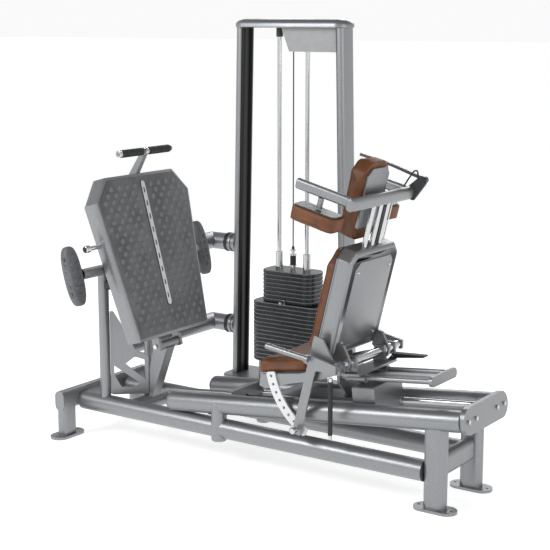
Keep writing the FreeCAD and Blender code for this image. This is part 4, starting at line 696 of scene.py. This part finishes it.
def stuffed(name, node, body, place, board, shrink, puff, voxel=0.0065):
    """A cushion from its plain form: drawn in, then swollen, but no further than its puff.

    The board says which axis the cushion is mounted along, and where on it the board lies: that
    side is held still.
    """
    axis, held_at = board
    index = "xyz".index(axis)
    shape = bmesh.new()
    shape.from_mesh(nodes[node].data)
    bmesh.ops.remove_doubles(shape, verts=shape.verts, dist=JOINED_WITHIN)
    inside = place.inverted()
    bmesh.ops.transform(shape, matrix=inside, verts=shape.verts)
    low = Vector([min(v.co[i] for v in shape.verts) for i in range(3)])
    high = Vector([max(v.co[i] for v in shape.verts) for i in range(3)])
    middle, size = (low + high) / 2, high - low
    near, far = sorted((low[index], high[index]), key=lambda edge: abs(edge - held_at))
    swell_to = far + math.copysign(shrink, near - far)
    for v in shape.verts:
        for i in range(3):
            if i == index:
                v.co[i] = held_at + (v.co[i] - near) * (swell_to - held_at) / (far - near)
            else:
                v.co[i] = middle[i] + (v.co[i] - middle[i]) * (size[i] - 2 * shrink) / size[i]
    mesh = bpy.data.meshes.new(name)
    shape.to_mesh(mesh)
    shape.free()
    piece = bpy.data.objects.new(name, mesh)
    bpy.context.scene.collection.objects.link(piece)
    remesh = piece.modifiers.new("even skin", "REMESH")
    remesh.mode, remesh.voxel_size = "VOXEL", voxel
    view = bpy.context.evaluated_depsgraph_get()
    piece.data = bpy.data.meshes.new_from_object(piece.evaluated_get(view))
    piece.modifiers.clear()
    rest = [v.co.copy() for v in piece.data.vertices]
    held = piece.vertex_groups.new(name="held")
    still = [i for i, co in enumerate(rest) if abs(co[index] - held_at) < HELD_WITHIN]
    held.add(still, 1.0, "REPLACE")
    cloth = piece.modifiers.new("foam", "CLOTH")
    cloth.settings.use_pressure = True
    cloth.settings.uniform_pressure_force = SWELL_PRESSURE
    cloth.settings.vertex_group_mass = "held"
    cloth.settings.quality = 4
    cloth.settings.effector_weights.gravity = 0
    cloth.point_cache.frame_start, cloth.point_cache.frame_end = 1, SWELL_FRAMES
    for step in range(1, SWELL_FRAMES + 1):
        bpy.context.scene.frame_set(step)
    view = bpy.context.evaluated_depsgraph_get()
    swollen = bpy.data.meshes.new_from_object(piece.evaluated_get(view))
    piece.modifiers.clear()
    for v, start in zip(swollen.vertices, rest):
        move = v.co - start
        v.co = start + move * min(1, puff / max(move.length, 1e-9))
    piece.data = swollen
    bpy.context.scene.frame_set(1)
    shape = bmesh.new()
    shape.from_mesh(piece.data)
    for _ in range(2):
        bmesh.ops.smooth_vert(shape, verts=shape.verts, factor=0.5, use_axis_x=True,
                              use_axis_y=True, use_axis_z=True)
    bmesh.ops.transform(shape, matrix=place, verts=shape.verts)
    shape.to_mesh(piece.data)
    shape.free()
    piece.data.materials.clear()
    piece.data.materials.append(leather)
    piece.data.shade_smooth()
    finer = piece.modifiers.new("smooth skin", "SUBSURF")
    finer.levels = finer.render_levels = 1
    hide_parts(node)
    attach(piece, body)
    return piece


seat_pad = stuffed("seat_pad", "seat_cushion", "seat", SEAT, ("z", 0.0), 0.006, 0.007)
back_pad = stuffed("back_pad", "back_cushion", "backrest", BACK, ("x", -0.1395), 0.006, 0.007)
head_pad = stuffed("head_pad", "headrest", "shoulder_unit", BACK, ("x", -0.1475), 0.005, 0.006,
                   0.005)
near_pad = stuffed("near_shoulder_pad", "shoulder_pad_near", "pad_near", BACK, ("z", 0.6), 0.004,
                   0.005, 0.0045)
far_pad = stuffed("far_shoulder_pad", "shoulder_pad_far", "pad_far", BACK, ("z", 0.6), 0.004,
                  0.005, 0.0045)
WELT_RADIUS, WELT_STEP, WELT_PROUD = 0.0017, 0.01, 0.0004


def welt(name, pad, body, place, across, corners, level):
    """A welted seam: a thin leather cord that runs round a pad's skin as its corners say."""
    loop = [Vector(corner) for corner in corners]
    for _ in range(3):
        pairs = list(zip(loop, loop[1:] + loop[:1]))
        loop = [a.lerp(b, share) for a, b in pairs for share in (0.2, 0.8)]
    even = []
    for a, b in zip(loop, loop[1:] + loop[:1]):
        steps = max(1, round((b - a).length / WELT_STEP))
        even += [a.lerp(b, i / steps) for i in range(steps)]
    skin = BVHTree.FromObject(pad, bpy.context.evaluated_depsgraph_get())
    cord = bpy.data.curves.new(name, "CURVE")
    cord.dimensions, cord.bevel_depth, cord.bevel_resolution = "3D", WELT_RADIUS, 2
    line = cord.splines.new("POLY")
    line.use_cyclic_u = True
    line.points.add(len(even) - 1)
    for point, (a, b) in zip(line.points, even):
        spot = {"x": (level, a, b), "z": (a, b, level)}[across]
        on_skin, outward, _, _ = skin.find_nearest(place @ Vector(spot))
        point.co = (*(on_skin + outward * WELT_PROUD), 1)
    cord.materials.append(leather)
    drawn = bpy.data.objects.new(name, cord)
    bpy.context.scene.collection.objects.link(drawn)
    view = bpy.context.evaluated_depsgraph_get()
    mesh = bpy.data.meshes.new_from_object(drawn.evaluated_get(view))
    bpy.data.objects.remove(drawn)
    seam = bpy.data.objects.new(name, mesh)
    bpy.context.scene.collection.objects.link(seam)
    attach(seam, body)


welt("seat_welt", seat_pad, "seat", SEAT, "z",
     [(0, -0.2), (0.272, -0.2), (0.272, 0.2), (0, 0.2)], 0.046)
welt("back_welt", back_pad, "backrest", BACK, "x",
     [(-0.193, -0.008), (0.193, -0.008), (0.193, 0.390), (0.138, 0.460), (-0.138, 0.460),
      (-0.193, 0.390)], -0.184)
welt("head_welt", head_pad, "shoulder_unit", BACK, "x",
     [(-0.078, 0.478), (0.078, 0.478), (0.104, 0.608), (0.104, 0.780), (0.059, 0.825),
      (-0.059, 0.825), (-0.104, 0.780), (-0.104, 0.608)], -0.216)
for name, pad, body, aside in (("near_pad_welt", near_pad, "pad_near", -0.228),
                               ("far_pad_welt", far_pad, "pad_far", 0.228)):
    outline = [(-0.362, aside - 0.054), (-0.137, aside - 0.054), (-0.137, aside + 0.054),
               (-0.362, aside + 0.054)]
    welt(name, pad, body, BACK, "z", outline, 0.543)
